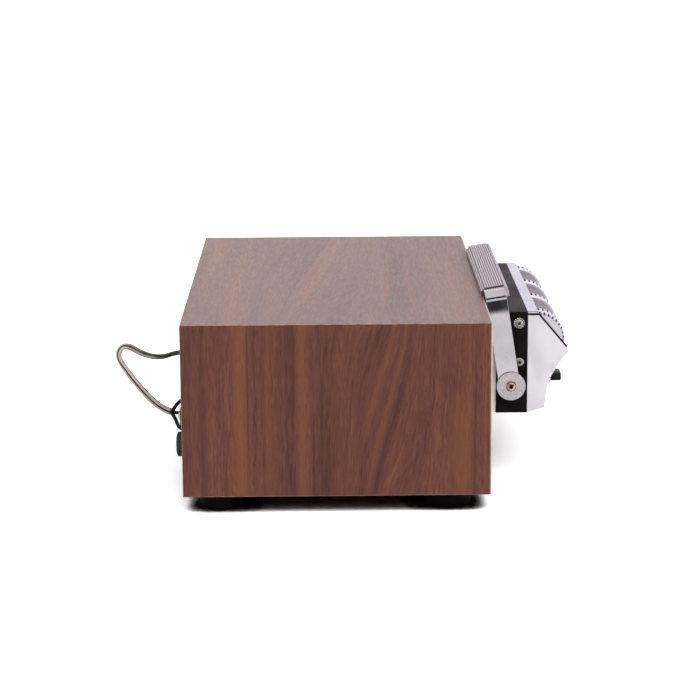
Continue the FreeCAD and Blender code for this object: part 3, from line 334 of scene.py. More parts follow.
EFFECTS = {
    # group: (what builds it, what it takes, what it gives)
    "walnut_figure": (walnut_figure, [("Float", "Across", "Along", "Seed", "Lean", "Lean Place", "Lean Width"),
                                      ("Color", "Dark", "Middle", "Light")],
                      [("Color", "Color"), ("Float", "Height", "Roughness", "Across")]),
    "wood_streak": (wood_streak, [("Float", "Across", "Along", "Place", "Half Width", "From", "To", "Strength")],
                    [("Float", "Mask")]),
    "moulded_skin": (moulded_skin, [("Vector", "Vector"), ("Float", "Pebble", "Cloud")],
                     [("Float", "Height", "Cloud", "Specks")]),
    "brushed_scuffs": (brushed_scuffs, [("Vector", "Vector", "Stretch"), ("Float", "Scale")],
                       [("Float", "Height", "Scratch", "Patch")]),
    "rubbed_corner": (rubbed_corner, [("Vector", "Vector"), ("Float", "Corner", "Scale")], [("Float", "Mask")]),
}


def effect(name, **values):
    """Places one of the shared groups in a material with its own values."""
    tree = next(value.tree for value in values.values() if isinstance(value, Wire))
    return add(tree, "ShaderNodeGroup", {key.replace("_", " "): value for key, value in values.items()},
               node_tree=node_group("ShaderNodeTree", name, *EFFECTS[name]))


# ================================================================ materials
WALNUT = {
    # board: (across the grain, along the grain, seed, lean, where it leans, how wide, the board's middle,
    #         gloss, haze)
    "cabinet_side_right": ("XY", "Z", 4.2, 0.30, 0.182, 0.026, 0.072, 0.12, 0.0),
    "cabinet_side_left": ("XY", "Z", 31.7, -0.24, -0.120, 0.040, 0.072, 0.12, 0.0),
    "cabinet_top": ("XZ", "Y", 12.6, 0.14, -0.177, 0.040, 0.0, 0.9, 0.18),
    "cabinet_bottom": ("XZ", "Y", 57.3, 0.20, 0.030, 0.045, 0.0, 0.12, 0.0),
}
STREAKS = {
    # board: (place across the grain, half width, from and to along the grain, how strong, dark or light)
    "cabinet_side_right": (
        (0.0550, 0.0022, -0.09, 0.09, 0.50, "dark"), (0.0800, 0.0045, -0.09, 0.09, 0.50, "light"),
        (0.0850, 0.0007, -0.04, 0.09, 0.60, "dark"), (0.0990, 0.0030, -0.09, 0.09, 0.35, "light"),
        (0.1170, 0.0014, -0.01, 0.09, 0.65, "dark"), (0.1230, 0.0026, -0.09, 0.09, 0.50, "light"),
        (0.1310, 0.0012, -0.09, -0.01, 0.55, "dark"), (0.1370, 0.0012, -0.09, 0.03, 0.55, "dark"),
        (0.1630, 0.0028, -0.09, 0.09, 0.35, "dark"), (0.1720, 0.0030, -0.02, 0.09, 0.40, "light"),
        (0.1830, 0.0024, -0.06, 0.09, 0.45, "light"), (0.1900, 0.0026, -0.09, 0.05, 0.40, "dark"),
        (0.2330, 0.0070, -0.09, 0.01, 0.50, "light"), (0.2420, 0.0009, -0.09, 0.04, 0.45, "dark")),
    "cabinet_top": (
        (-0.1830, 0.0016, -0.20, 0.20, 0.60, "dark"), (-0.1700, 0.0030, -0.10, 0.20, 0.45, "light"),
        (-0.2320, 0.0040, -0.20, 0.20, 0.45, "light"), (-0.1180, 0.0020, -0.20, 0.05, 0.50, "dark")),
    "cabinet_side_left": (
        (-0.2500, 0.0025, -0.09, 0.09, 0.70, "dark"), (-0.1650, 0.0060, -0.09, 0.09, 0.60, "light")),
}


def dimmed(base, by):
    return tuple(c * by for c in base)


def new_material(name):
    """A new material, and the object's own coordinates in it."""
    made = bpy.data.materials.new(name)
    made.use_nodes = True
    return made, add(made.node_tree, "ShaderNodeTexCoord")["Object"]


def covered(made, shade, roughness, height, strength, distance, **constants):
    """Gives a material's shader its colour, its roughness, the relief of a height and its constants."""
    relief = add(made.node_tree, "ShaderNodeBump", {"Height": height, "Strength": strength, "Distance": distance})
    fill(made.node_tree.nodes["Principled BSDF"].inputs, {
        "Base Color": shade, "Roughness": roughness, "Normal": relief[0],
        **{key.replace("_", " "): value for key, value in constants.items()}})
    return made


def rubbed(place, scale=420.0):
    """Where a piece's corners take their corner colour: wear on some pieces, a painted highlight on the walnut and
    dirt and painted shade in the screws' recesses.
    """
    corner = add(place.tree, "ShaderNodeAttribute", attribute_name="corner")["Fac"]
    return effect("rubbed_corner", Vector=place, Corner=corner, Scale=scale)["Mask"]


def walnut(board):
    """The veneer of one of the cabinet's boards, with a painted highlight along its rounded corners."""
    (first, second), grain, seed, lean, lean_place, lean_width, middle, gloss, haze = WALNUT[board]
    wood = chosen("wood")
    made, place = new_material(board + "_veneer")
    parts = dict(zip("XYZ", add(place.tree, "ShaderNodeSeparateXYZ", {0: place})))
    along = parts[grain] - middle
    figure = effect("walnut_figure", Across=parts[first] - parts[second], Along=along, Seed=seed, Lean=lean,
                    Lean_Place=lean_place, Lean_Width=lean_width, Dark=wood.dark, Middle=wood.middle,
                    Light=wood.light)
    veneer = figure["Color"]
    for spot, half, low, high, strength, kind in STREAKS.get(board, ()):
        mask = effect("wood_streak", Across=figure["Across"], Along=along, Place=spot, Half_Width=half, From=low,
                      To=high, Strength=strength)["Mask"]
        veneer = mask.blend(veneer, getattr(wood, kind))
    # the rounded corners take the corner highlight colour: a painted highlight
    return covered(made, rubbed(place, 260.0).blend(veneer, wood.worn), figure["Roughness"], figure["Height"],
                   0.25, 0.0001, Specular_IOR_Level=gloss, Sheen_Weight=haze, Sheen_Roughness=0.4,
                   Sheen_Tint=(1.0, 0.85, 1.0))


def skinned(name, base, roughness=0.5, pebble=2600.0, cloud=45.0, depth=0.2, cloudy=0.12, specks=0.0,
            wear_and_painted_light_to=None, **constants):
    """Plastic, rubber or enamel: one colour with cloudiness, pebble, specks and a given colour on its marked corners,
    wear on most pieces and a painted highlight on the knob.
    """
    made, place = new_material(name)
    skin = effect("moulded_skin", Vector=place, Pebble=pebble, Cloud=cloud)
    pale = tuple(min(1.0, c * (1 + cloudy) + 0.004) for c in base)
    shade = skin["Cloud"].blend(dimmed(base, 1 - cloudy), pale)
    if specks:
        shade = (skin["Specks"] * specks).blend(shade, (0.02, 0.018, 0.018))
    if wear_and_painted_light_to:
        shade = rubbed(place).blend(shade, wear_and_painted_light_to)
    return covered(made, shade, skin["Cloud"].span(0.0, 1.0, roughness - 0.05, roughness + 0.05),
                   skin["Height"], depth, 0.00012, **constants)


def brushed(name, base, roughness=0.3, metallic=1.0, stretch=(1.0, 1.0, 0.03), scale=2400.0, depth=0.08,
            patchy=0.08, scratches=0.4, wear_and_painted_light_to=None):
    """Bare, plated or silvered metal: brushing along one way, patches and stray scratches."""
    made, place = new_material(name)
    marks = effect("brushed_scuffs", Vector=place, Stretch=stretch, Scale=scale)
    shade = marks["Patch"].blend(dimmed(base, 1 - patchy), base)
    shade = (marks["Scratch"] * (scratches * 0.5)).blend(shade, dimmed(base, 0.55))
    if wear_and_painted_light_to:
        shade = rubbed(place).blend(shade, wear_and_painted_light_to)
    rough = marks["Patch"].span(0.0, 1.0, roughness + 0.06, roughness - 0.04)
    return covered(made, shade, rough + marks["Scratch"] * (0.15 * scratches), marks["Height"], depth, 0.00005,
                   Metallic=metallic)


def satin(name, base, roughness, metallic, stretch=(1, 1, 0.02)):
    """Finely brushed silver."""
    return brushed(name, base, roughness, metallic, stretch, 1800.0, 0.05, 0.05, 0.25)


def screw_metal(name, base, roughness, metallic, patchy=0.16):
    """Plated metal without a grain, with dirt and painted shade in its recesses."""
    return brushed(name, base, roughness, metallic, (1, 1, 1), 900.0, 0.06, patchy, 0.5,
                   wear_and_painted_light_to=chosen("metal").recess)


def fibre(name, base, dark, scale=700.0):
    """Pressed or sawn board without veneer: short fibres and dark flecks."""
    made, place = new_material(name)
    skin = effect("moulded_skin", Vector=place, Pebble=scale, Cloud=90.0)
    shade = (skin["Specks"] * 0.7).blend(skin["Height"].blend(dark, base), dimmed(dark, 0.4))
    return covered(made, shade, skin["Cloud"].span(0.0, 1.0, 0.7, 0.85), skin["Height"], 0.35, 0.0003)


def lead_cover():
    """The lead's brown vinyl, dark on its edges and in the groove between its wires, with a painted reflection that
    makes its broad side pale.
    """
    lead = chosen("lead")
    made, place = new_material("lead_cover")
    # broad: how much painted reflection each point takes, as swept works it out
    broad = add(place.tree, "ShaderNodeAttribute", attribute_name="broad")["Fac"]
    skin = effect("moulded_skin", Vector=place, Pebble=1500.0, Cloud=220.0)
    uneven = broad.maths("ADD", (skin["Cloud"] - 0.5) * 0.18, clamp=True)
    return covered(made, uneven.blend(lead.side, lead.face), skin["Cloud"].span(0.0, 1.0, 0.34, 0.46),
                   skin["Height"], 0.1, 0.00008, Specular_IOR_Level=0.15)


def finishes():
    """How each material slot of the record, and each look of a piece's own, is finished."""
    metal, plastic = chosen("metal"), chosen("plastic")
    return {
        "plywood": lambda: fibre("sawn_softwood", colour(190, 158, 118), colour(158, 122, 84), 420.0),
        "hardboard": lambda: fibre("hardboard", colour(112, 84, 62), colour(78, 56, 42)),
        "lead_brown": lead_cover,
        # enamel, plastic and rubber
        "rubber": lambda: skinned("rubber", plastic.rubber, 0.72, 1800.0, depth=0.35, cloudy=0.25,
                                  Specular_IOR_Level=0.08),
        # its marked corners turn orange-brown, like the thin line along the top edge of the can
        "cream_steel": lambda: skinned("cream_enamel", metal.cream, 0.38, 1400.0, depth=0.08, specks=0.15,
                                       wear_and_painted_light_to=colour(214, 178, 150)),
        "black_metal": lambda: skinned("black_enamel", metal.black, 0.46, 2400.0, depth=0.5, cloudy=0.18,
                                       wear_and_painted_light_to=colour(60, 56, 56), Specular_IOR_Level=0.05,
                                       Sheen_Weight=0.05, Sheen_Roughness=0.3, Sheen_Tint=(1.0, 0.3, 0.65)),
        "dark_plastic": lambda: skinned("dark_plastic", colour(52, 50, 52), 0.48, cloudy=0.1),
        "black_plastic": lambda: skinned("black_plastic", plastic.black, 0.42, cloudy=0.2,
                                         wear_and_painted_light_to=colour(74, 70, 70), Specular_IOR_Level=0.1),
        # its paler corner colour is a painted highlight meant for the ribs' edges; the knob's mesh carries no corner
        # marks, so it shows nowhere
        "knob_black": lambda: skinned("knob_black", colour(50, 45, 46), 0.4, cloudy=0.2,
                                      wear_and_painted_light_to=colour(96, 92, 92), Specular_IOR_Level=0.4),
        "drum_grey": lambda: skinned("drum_grey", plastic.drum, 0.44, 2600.0, 800.0, 0.3, 0.14,
                                     Specular_IOR_Level=0.2),
        "grey_plastic": lambda: skinned("grey_plastic", plastic.grip, 0.46, cloudy=0.08),
        "grip_groove": lambda: skinned("grip_groove", plastic.groove, 0.5, cloudy=0.1),
        # near black without gloss: painted shade in the thumbwheels' gaps, and the dark seam beside the crown's bead
        "gap_black": lambda: skinned("gap_black", colour(10, 9, 10), 0.7, cloudy=0.1, Specular_IOR_Level=0.0),
        "circuit_board": lambda: skinned("board_laminate", colour(150, 112, 62), 0.4, 800.0, cloudy=0.15,
                                         specks=0.3),
        "silver_face": lambda: skinned("turned_aluminium", metal.turned, 0.36, 1100.0, 520.0, 0.7, 0.13,
                                       Metallic=0.9),
        # bare and plated metal
        "front_sheet": lambda: brushed("front_sheet", colour(206, 202, 200), 0.34, stretch=(1, 0.03, 1),
                                       patchy=0.02),
        "zinc_steel": lambda: brushed("zinc_steel", metal.zinc, 0.36, stretch=(1, 0.05, 1), patchy=0.22),
        "silver_metal": lambda: satin("satin_silver", metal.silver, 0.34, 0.85),
        "crown_silver": lambda: satin("crown_silver", metal.crown, 0.34, 0.85, (1, 0.02, 1)),
        "wheel_face": lambda: satin("wheel_face", metal.silver, 0.40, 0.3),
        "silver_plastic": lambda: brushed("silvered_rim", plastic.wheel, 0.26, 0.55, (1, 0.05, 1), 1500.0, 0.05,
                                          0.05, 0.2),
        "chrome": lambda: brushed("satin_chrome", metal.chrome, 0.16, 1.0, (1, 1, 0.02), 1400.0, 0.05, 0.10, 0.8),
        "nickel": lambda: screw_metal("nickel", metal.nickel, 0.24, 0.5),
        "brown_nickel": lambda: screw_metal("dull_nickel", metal.brown_nickel, 0.24, 1.0),
        "brass": lambda: screw_metal("brass", metal.brass, 0.26, 1.0, 0.18),
        "bronze": lambda: brushed("bronze", colour(186, 140, 96), 0.42, 1.0, (1, 1, 1), 1200.0, 0.2, 0.2, 0.3),
        "copper": lambda: brushed("enamelled_copper", colour(188, 106, 62), 0.3, 0.9, (0.05, 1, 1), 1600.0,
                                  0.4, 0.15, 0.0),
        "lamination": lambda: brushed("core_sheets", colour(96, 94, 98), 0.45, 0.8, (0.02, 1, 0.02), 2600.0,
                                      0.6, 0.2, 0.0),
    }


def finish(look):
    """The material of a look, made the first time that a piece asks for it."""
    for made in bpy.data.materials:
        if made.get("look") == look:
            return made
    made = walnut(look) if look in WALNUT else finishes()[look]()
    made["look"] = look
    return made


# ================================================================ geometry building
def new_object(name, data):
    made = bpy.data.objects.new(name, data)
    bpy.context.scene.collection.objects.link(made)
    return made


def plain_mesh(holder):
    """Turns an object's live modifiers into its mesh."""
    bpy.context.view_layer.update()
    graph = bpy.context.evaluated_depsgraph_get()
    mesh = bpy.data.meshes.new_from_object(holder.evaluated_get(graph), preserve_all_data_layers=True,
                                           depsgraph=graph)
    holder.modifiers.clear()
    holder.data = mesh
    mesh.name = holder.name


def modified(holder, kind, **settings):
    """Runs one modifier on an object, and leaves a plain mesh."""
    modifier = holder.modifiers.new(kind, kind)
    for key, value in settings.items():
        setattr(modifier, key, value)
    plain_mesh(holder)


@contextlib.contextmanager
def editing(mesh, source=None):
    """A mesh opened for editing, filled from itself or from another one, and written back afterwards."""
    work = bmesh.new()
    work.from_mesh(source or mesh)
    yield work
    work.to_mesh(mesh)
    work.free()


def smooth(mesh, angle=34):
    mesh.shade_smooth()
    mesh.set_sharp_from_angle(angle=math.radians(angle))


def merged_copy(node):
    """The joined-up mesh of a CAD node, with flat faces made whole."""
    mesh = bpy.data.meshes.new(node)
    with editing(mesh, NODES[node].data) as work:
        bmesh.ops.remove_doubles(work, verts=work.verts[:], dist=TOUCHING)
        bmesh.ops.dissolve_limit(work, angle_limit=math.radians(0.6), verts=work.verts[:], edges=work.edges[:])
        bmesh.ops.recalc_face_normals(work, faces=work.faces[:])
    return mesh


def mark_corners(mesh):
    """Turns the faces that a bevel made into corner marks, and gives every face the first material."""
    indices = [0] * len(mesh.polygons)
    mesh.polygons.foreach_get("material_index", indices)
    marks = mesh.attributes.new("corner", "FLOAT", "FACE")
    marks.data.foreach_set("value", [float(index == 1) for index in indices])
    mesh.polygons.foreach_set("material_index", [0] * len(indices))


def settle(piece, node, look=None, stands=True):
    """Gives a finished piece its look and its slot, rides it on its node's body, and has it stand for the node."""
    if look:
        piece.data.materials.append(finish(look))
    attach(piece, BODY_OF[node])
    if stands:
        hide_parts(node)
    return piece


def dressed(node, corner, look=None, segments=2, shape=None):
    """A copy of a CAD node with rounded corners, in its finish, that stands for it."""
    piece = new_object(node + "_piece", merged_copy(node))
    # the same finish twice, so that the bevel can give its own faces the second one, for mark_corners to find
    for second in (False, True):
        piece.data.materials.append(finish(look or SLOT_OF[node]))
    piece.data.polygons.foreach_set("material_index", [0] * len(piece.data.polygons))
    modified(piece, "BEVEL", width=corner, segments=segments, limit_method="ANGLE",
             angle_limit=math.radians(28), material=1, use_clamp_overlap=True)
    mark_corners(piece.data)
    if shape:
        shape(piece)
    smooth(piece.data)
    modified(piece, "WEIGHTED_NORMAL", keep_sharp=True)
    return settle(piece, node)


def paint(*nodes):
    """Gives CAD nodes that keep their own mesh their finish."""
    for node in nodes:
        NODES[node].data.materials.clear()
        NODES[node].data.materials.append(finish(SLOT_OF[node]))


def solid(name, points, faces, soft=None):
    """An object of points and faces, shaded smooth over edges up to an angle."""
    mesh = bpy.data.meshes.new(name)
    mesh.from_pydata([tuple(point) for point in points], [], faces)
    with editing(mesh) as work:
        bmesh.ops.recalc_face_normals(work, faces=work.faces[:])
    if soft:
        smooth(mesh, soft)
    return new_object(name, mesh)


def circle(radius, steps):
    return [(radius * math.cos(math.tau * step / steps), radius * math.sin(math.tau * step / steps))
            for step in range(steps)]


def turned(name, profile, steps=72, soft=40):
    """An object turned about Z from (radius, height) pairs. A profile off the axis closes on itself."""
    points, rings, faces = [], [], []
    for radius, height in profile:
        if radius < 1e-7:
            rings.append([len(points)] * steps)
            points.append((0, 0, height))
        else:
            rings.append(range(len(points), len(points) + steps))
            points += [(x, y, height) for x, y in circle(radius, steps)]
    if profile[0][0] > 1e-7:
        rings.append(rings[0])
    for low, high in zip(rings, rings[1:]):
        for step in range(steps):
            after = (step + 1) % steps
            corners = list(dict.fromkeys((low[step], low[after], high[after], high[step])))
            if len(corners) > 2:
                faces.append(corners)
    return solid(name, points, faces, soft)


def tube_faces(rings, count):
    """The faces of a tube with two closed ends, made of some rings with a count of points in each."""
    faces = []
    for low in range(0, (rings - 1) * count, count):
        for step in range(count):
            after = (step + 1) % count
            faces.append((low + step, low + after, low + count + after, low + count + step))
    return faces + [tuple(range(count)), tuple(range((rings - 1) * count, rings * count))]


def block(name, one, other, corner):
    """A rounded block between two opposite corners."""
    (left, right), (near, far), heights = map(sorted, zip(one, other))
    points = [(x, y, z) for z in heights for x, y in ((left, near), (right, near), (right, far), (left, far))]
    made = solid(name, points, tube_faces(2, 4))
    modified(made, "BEVEL", width=corner, segments=2, limit_method="NONE")
    smooth(made.data, 60)
    return made


def facing(way):
    """The turn that puts a mesh's own +Z along a direction."""
    return Vector(way).to_track_quat("Z", "Y").to_matrix()


def islands(node):
    """The lowest and highest corner of each separate solid in a CAD node."""
    work = bmesh.new()
    work.from_mesh(NODES[node].data)
    bmesh.ops.remove_doubles(work, verts=work.verts[:], dist=TOUCHING)
    found, seen = [], set()
    for start in work.verts:
        if start in seen:
            continue
        group, fresh = set(), {start}
        while fresh:
            group |= fresh
            fresh = {edge.other_vert(vert) for vert in fresh for edge in vert.link_edges} - group
        seen |= group
        spots = [vert.co.copy() for vert in group]
        found.append((Vector(map(min, *spots)), Vector(map(max, *spots))))
    work.free()
    return found


def outward(low, high, way):
    """The outermost point of a box along a direction, on its middle line."""
    return (low + high) / 2 + way * abs(((high - low) / 2).dot(way))


def sideways(low, high):
    """The direction from the player's middle to the side that a box lies on."""
    return Y if low.y + high.y > 0 else -Y


# ================================================================ geometry nodes
def copied(come, points, **values):
    """The shape of a tree on each of some points."""
    shape = add(come.tree, "GeometryNodeObjectInfo", {"Object": come["Shape"]})["Geometry"]
    return add(come.tree, "GeometryNodeInstanceOnPoints", {"Points": points, "Instance": shape, **values})[0]


def made_real(come, geometry):
    """What a tree gives: real geometry in one material."""
    real = add(come.tree, "GeometryNodeRealizeInstances", {0: geometry})[0]
    return {"Geometry": add(come.tree, "GeometryNodeSetMaterial", {"Geometry": real,
                                                                   "Material": come["Material"]})[0]}


def turn_by(angles):
    return add(angles.tree, "FunctionNodeEulerToRotation", {0: angles})[0]


def ring_of_copies(come):
    """Copies of one shape round a rim, joined to what the rim itself is, then turned and put in place."""
    seats = add(come.tree, "GeometryNodeMeshCircle", {"Vertices": come["Count"], "Radius": 0.0})[0]
    angle = add(come.tree, "GeometryNodeInputIndex")[0] * math.tau / come["Count"]
    copies = copied(come, seats, Rotation=turn_by(combine(z=angle)))
    both = add(come.tree, "GeometryNodeJoinGeometry", {0: [copies, come["Geometry"]]})[0]
    return made_real(come, add(come.tree, "GeometryNodeTransform", {
        "Geometry": both, "Translation": come["Centre"], "Rotation": turn_by(come["Turn"])})[0])


def row_of_copies(come):
    """Copies of one shape in an even row, from where it stands."""
    line = add(come.tree, "GeometryNodeMeshLine", {"Count": come["Count"], "Offset": come["Step"]}, mode="OFFSET")
    return made_real(come, copied(come, line[0]))


def copies_on_seats(come):
    """One shape on each point, facing the way that the point's own mark says."""
    mark = add(come.tree, "GeometryNodeInputNamedAttribute", {"Name": "facing"}, data_type="FLOAT_VECTOR")[0]
    return made_real(come, copied(come, come["Geometry"], Rotation=turn_by(mark)))


TREES = {
    # tree: (what builds it, what it takes besides the geometry, the shape and the material)
    "ring_of_copies": (ring_of_copies, ("Int", "Count"), ("Vector", "Turn", "Centre")),
    "row_of_copies": (row_of_copies, ("Int", "Count"), ("Vector", "Step")),
    "copies_on_seats": (copies_on_seats,),
}


def grown(holder, tree_name, **values):
    """Runs one of the trees on an object, leaves a plain mesh, and takes away the shape that was copied."""
    build, *takes = TREES[tree_name]
    tree = node_group("GeometryNodeTree", tree_name, build,
                      [("Geometry", "Geometry"), ("Object", "Shape"), ("Material", "Material"), *takes],
                      [("Geometry", "Geometry")])
    modifier = holder.modifiers.new("grow", "NODES")
    modifier.node_group = tree
    for item in tree.interface.items_tree:
        if item.in_out == "INPUT" and item.name in values:
            modifier[item.identifier] = values[item.name]
    plain_mesh(holder)
    bpy.data.objects.remove(values["Shape"])
    return holder


def on_seats(name, shape, places, look):
    """Puts copies of a shape at (origin, way, spin) places, each with its +Z along the way."""
    mesh = bpy.data.meshes.new(name)
    mesh.from_pydata([tuple(origin) for origin, way, spin in places], [], [])
    marks = mesh.attributes.new("facing", "FLOAT_VECTOR", "POINT")
    for mark, (origin, way, spin) in zip(marks.data, places):
        mark.vector = (facing(way) @ Matrix.Rotation(spin, 3, "Z")).to_euler()
    return grown(new_object(name, mesh), "copies_on_seats", Shape=shape, Material=finish(look))


# ================================================================ camera
class PLAYER_OT_camera(bpy.types.Operator):
    """Sets the camera to the height and angle from which the player is shown"""
    bl_idname = "player.camera"
    bl_label = "Camera"

    place = (-0.03151, -1.62937, 0.44449)
    yaw, pitch, roll = math.radians(-0.573), math.radians(12.755), math.radians(0.375)

    def execute(self, context):
        data = bpy.data.cameras.new("camera")
        data.sensor_width, data.sensor_fit, data.lens = 36.0, "AUTO", chosen("stage").focal
        data.clip_start, data.clip_end = 0.05, 60.0
        camera = new_object("camera", data)
        level, sunk = math.cos(self.pitch), math.sin(self.pitch)
        side = Vector((math.cos(self.yaw), math.sin(self.yaw), 0))
        ahead = Vector((-math.sin(self.yaw) * level, math.cos(self.yaw) * level, -sunk))
        above = side.cross(ahead)
        right = math.cos(self.roll) * side - math.sin(self.roll) * above
        up = math.sin(self.roll) * side + math.cos(self.roll) * above
        camera.matrix_world = Matrix.Translation(self.place) @ Matrix((right, up, -ahead)).transposed().to_4x4()
        context.scene.camera = camera
        return {"FINISHED"}


# ================================================================ the lead
LEAD_ROUTE = [
    (-0.1271, -0.1140, 0.1014), (-0.1376, -0.1140, 0.1014), (-0.1496, -0.1152, 0.0972),
    (-0.1621, -0.1150, 0.0996), (-0.1749, -0.1138, 0.1074), (-0.1813, -0.1122, 0.0996),
    (-0.1761, -0.1108, 0.0890), (-0.1666, -0.1094, 0.0755), (-0.1561, -0.1080, 0.0628),
    (-0.1446, -0.1060, 0.0547), (-0.1368, -0.1060, 0.0547),
]
# Where the lead's two wires part, and where each one goes.
TAIL_ROUTES = [
    [(-0.1436, -0.1060, 0.0552), (-0.1424, -0.1056, 0.0578), (-0.1398, -0.1040, 0.0612), (-0.1362, -0.1010, 0.0634),
     (-0.1322, -0.0985, 0.0636), (-0.1306, -0.0980, 0.0596)],
    [(-0.1436, -0.1062, 0.0544), (-0.1418, -0.1068, 0.0518), (-0.1402, -0.1078, 0.0482), (-0.1389, -0.1092, 0.0452),
     (-0.1358, -0.1104, 0.0437), (-0.1300, -0.1110, 0.0437), (-0.1247, -0.1110, 0.0437)],
]
# At shares of the lead's length: how far it is turned on edge in degrees, how wide it is, how pale a painted
# reflection makes its near side.
LEAD_TWIST = [(0.0, -88), (0.14, -80), (0.24, -66), (0.36, -52), (0.46, -46), (0.60, -20), (1.0, -8)]
LEAD_SIZE = [(0.0, 1.0), (0.93, 1.0), (0.965, 0.5), (1.0, 0.5)]
LEAD_PAINTED_REFLECTION = [(0.0, 0.0), (0.12, 0.0), (0.24, 0.5), (0.37, 0.55), (0.42, 1.0), (0.925, 1.0), (0.94, 0.0)]


def eased(pairs, share):
    """The value at a share, eased between (share, value) pairs."""
    for (low, first), (high, second) in zip(pairs, pairs[1:]):
        if share <= high:
            part = max(0.0, (share - low) / (high - low))
            return first + (second - first) * part * part * (3 - 2 * part)
    return pairs[-1][1]


def route_points(route, resolution):
    """Points along the smooth line that a route's points pull, in order."""
    curve = bpy.data.curves.new("route", "CURVE")
    curve.dimensions = "3D"
    spline = curve.splines.new("NURBS")
    spline.points.add(len(route) - 1)
    for point, place in zip(spline.points, route):
        point.co = (*place, 1)
    spline.order_u = 3
    spline.use_endpoint_u = True
    curve.resolution_u = resolution
    holder = new_object("route", curve)
    bpy.context.view_layer.update()
    mesh = bpy.data.meshes.new_from_object(holder.evaluated_get(bpy.context.evaluated_depsgraph_get()))
    points = [vert.co.copy() for vert in mesh.vertices]
    bpy.data.objects.remove(holder)
    bpy.data.curves.remove(curve)
    bpy.data.meshes.remove(mesh)
    return points


def swept(name, points, section, slopes, twist=((1, 0.0),), size=((1, 1.0),), painted_reflection=((1, 0.0),)):
    """A closed tube: (across, through) pairs carried along points, turned and narrowed as it goes.

    A painted reflection makes a point pale where its slope, its own outward (across, through) pair, looks to the near
    side.
    The stronger the painted reflection is there, the farther round the pale side reaches.
    """
    travelled = [0.0]
    for before, after in zip(points, points[1:]):
        travelled.append(travelled[-1] + (after - before).length)
    reach, sharpness = 0.85, 3.2
    rings, reflection_shares = [], []
    for index, point in enumerate(points):
        share = travelled[index] / travelled[-1]
        ahead = (points[min(index + 1, len(points) - 1)] - points[max(index - 1, 0)]).normalized()
        flat = ahead.cross(Y).normalized()
        deep = flat.cross(ahead).normalized()
        angle = math.radians(eased(twist, share))
        across = math.cos(angle) * flat + math.sin(angle) * deep
        through = ahead.cross(across)
        rings += [point + eased(size, share) * (across * wide + through * thick) for wide, thick in section]
        pale = eased(painted_reflection, share)
        reflection_shares += [pale * min(1.0, max(0.0, sharpness * (reach * pale - 1.0 - (across * wide + through * thick).y)))
                  for wide, thick in slopes]
    made = solid(name, rings, tube_faces(len(points), len(section)), 70)
    made.data.attributes.new("broad", "FLOAT", "POINT").data.foreach_set("value", reflection_shares)
    return made


class PLAYER_OT_lead(bpy.types.Operator):
    """Makes the flat two-wire lead from the grommet to the terminals, with its two parted wires"""
    bl_idname = "player.lead"
    bl_label = "Lead"

    def execute(self, context):
        lead = chosen("lead")
        radius = lead.wire / 2
        centre = lead.width / 2 - radius
        section, slopes = [], []
        for side in (1, -1):
            for step in range(13):
                angle = math.radians(-132 + 22 * step)
                wide, thick = side * math.cos(angle), side * math.sin(angle)
                section.append((side * centre + radius * wide, radius * thick))
                slopes.append((0.0, 0.0) if step in (0, 12) else (wide, thick))
        points = route_points(LEAD_ROUTE, 24)
        cover = swept("rear_lead_flex", points, section, slopes, LEAD_TWIST, LEAD_SIZE, LEAD_PAINTED_REFLECTION)
        ring = circle(lead.tail / 2, 14)
        tails = [settle(swept("lead_wire_%d" % number, route_points(route, 14), ring, ring), "rear_lead",
                        "lead_brown", stands=False) for number, route in enumerate(TAIL_ROUTES, 1)]
        settle(cover, "rear_lead", "lead_brown")
        return {"FINISHED"}


# ================================================================ cabinet
class PLAYER_OT_cabinet(bpy.types.Operator):
    """Veneers the four mitred boards of the cabinet, with a painted highlight on their rounded corners"""
    bl_idname = "player.cabinet"
    bl_label = "Cabinet boards"

    def execute(self, context):
        for board in WALNUT:
            dressed(board, chosen("wood").corner, board)
        return {"FINISHED"}


class PLAYER_OT_panels(bpy.types.Operator):
    """Finishes the front sheet, the hardboard back and the battens inside the cabinet"""
    bl_idname = "player.panels"
    bl_label = "Front and rear panels"

    def execute(self, context):
        dressed("front_panel", 0.0002)
        dressed("rear_panel", 0.0004)
        paint("panel_cleats")
        return {"FINISHED"}


class PLAYER_OT_feet(bpy.types.Operator):
    """Makes the four rubber feet, with a rounded rim and a hollow for their screw"""
    bl_idname = "player.feet"
    bl_label = "Rubber feet"

    def execute(self, context):
        found = islands("rubber_feet")
        low, high = found[0]
        base, tall = (high.x - low.x) / 2, high.z - low.z
        top = base * 0.945
        profile = [(0.0, 0.0071), (0.0052, 0.0070), (0.0060, 0.0064), (0.0061, 0.0008), (0.0068, 0.0001),
                   (base - 0.0016, 0.0), (base - 0.0005, 0.0004), (base, 0.0016), (top + 0.0002, tall - 0.0012),
                   (top - 0.0010, tall), (0.0, tall)]
        places = [(Vector(((a.x + b.x) / 2, (a.y + b.y) / 2, a.z)), Z, 0.0) for a, b in found]
        settle(on_seats("feet", turned("foot", profile, 48, 50), places, "rubber"), "rubber_feet")
        paint("floor_screws")
        return {"FINISHED"}


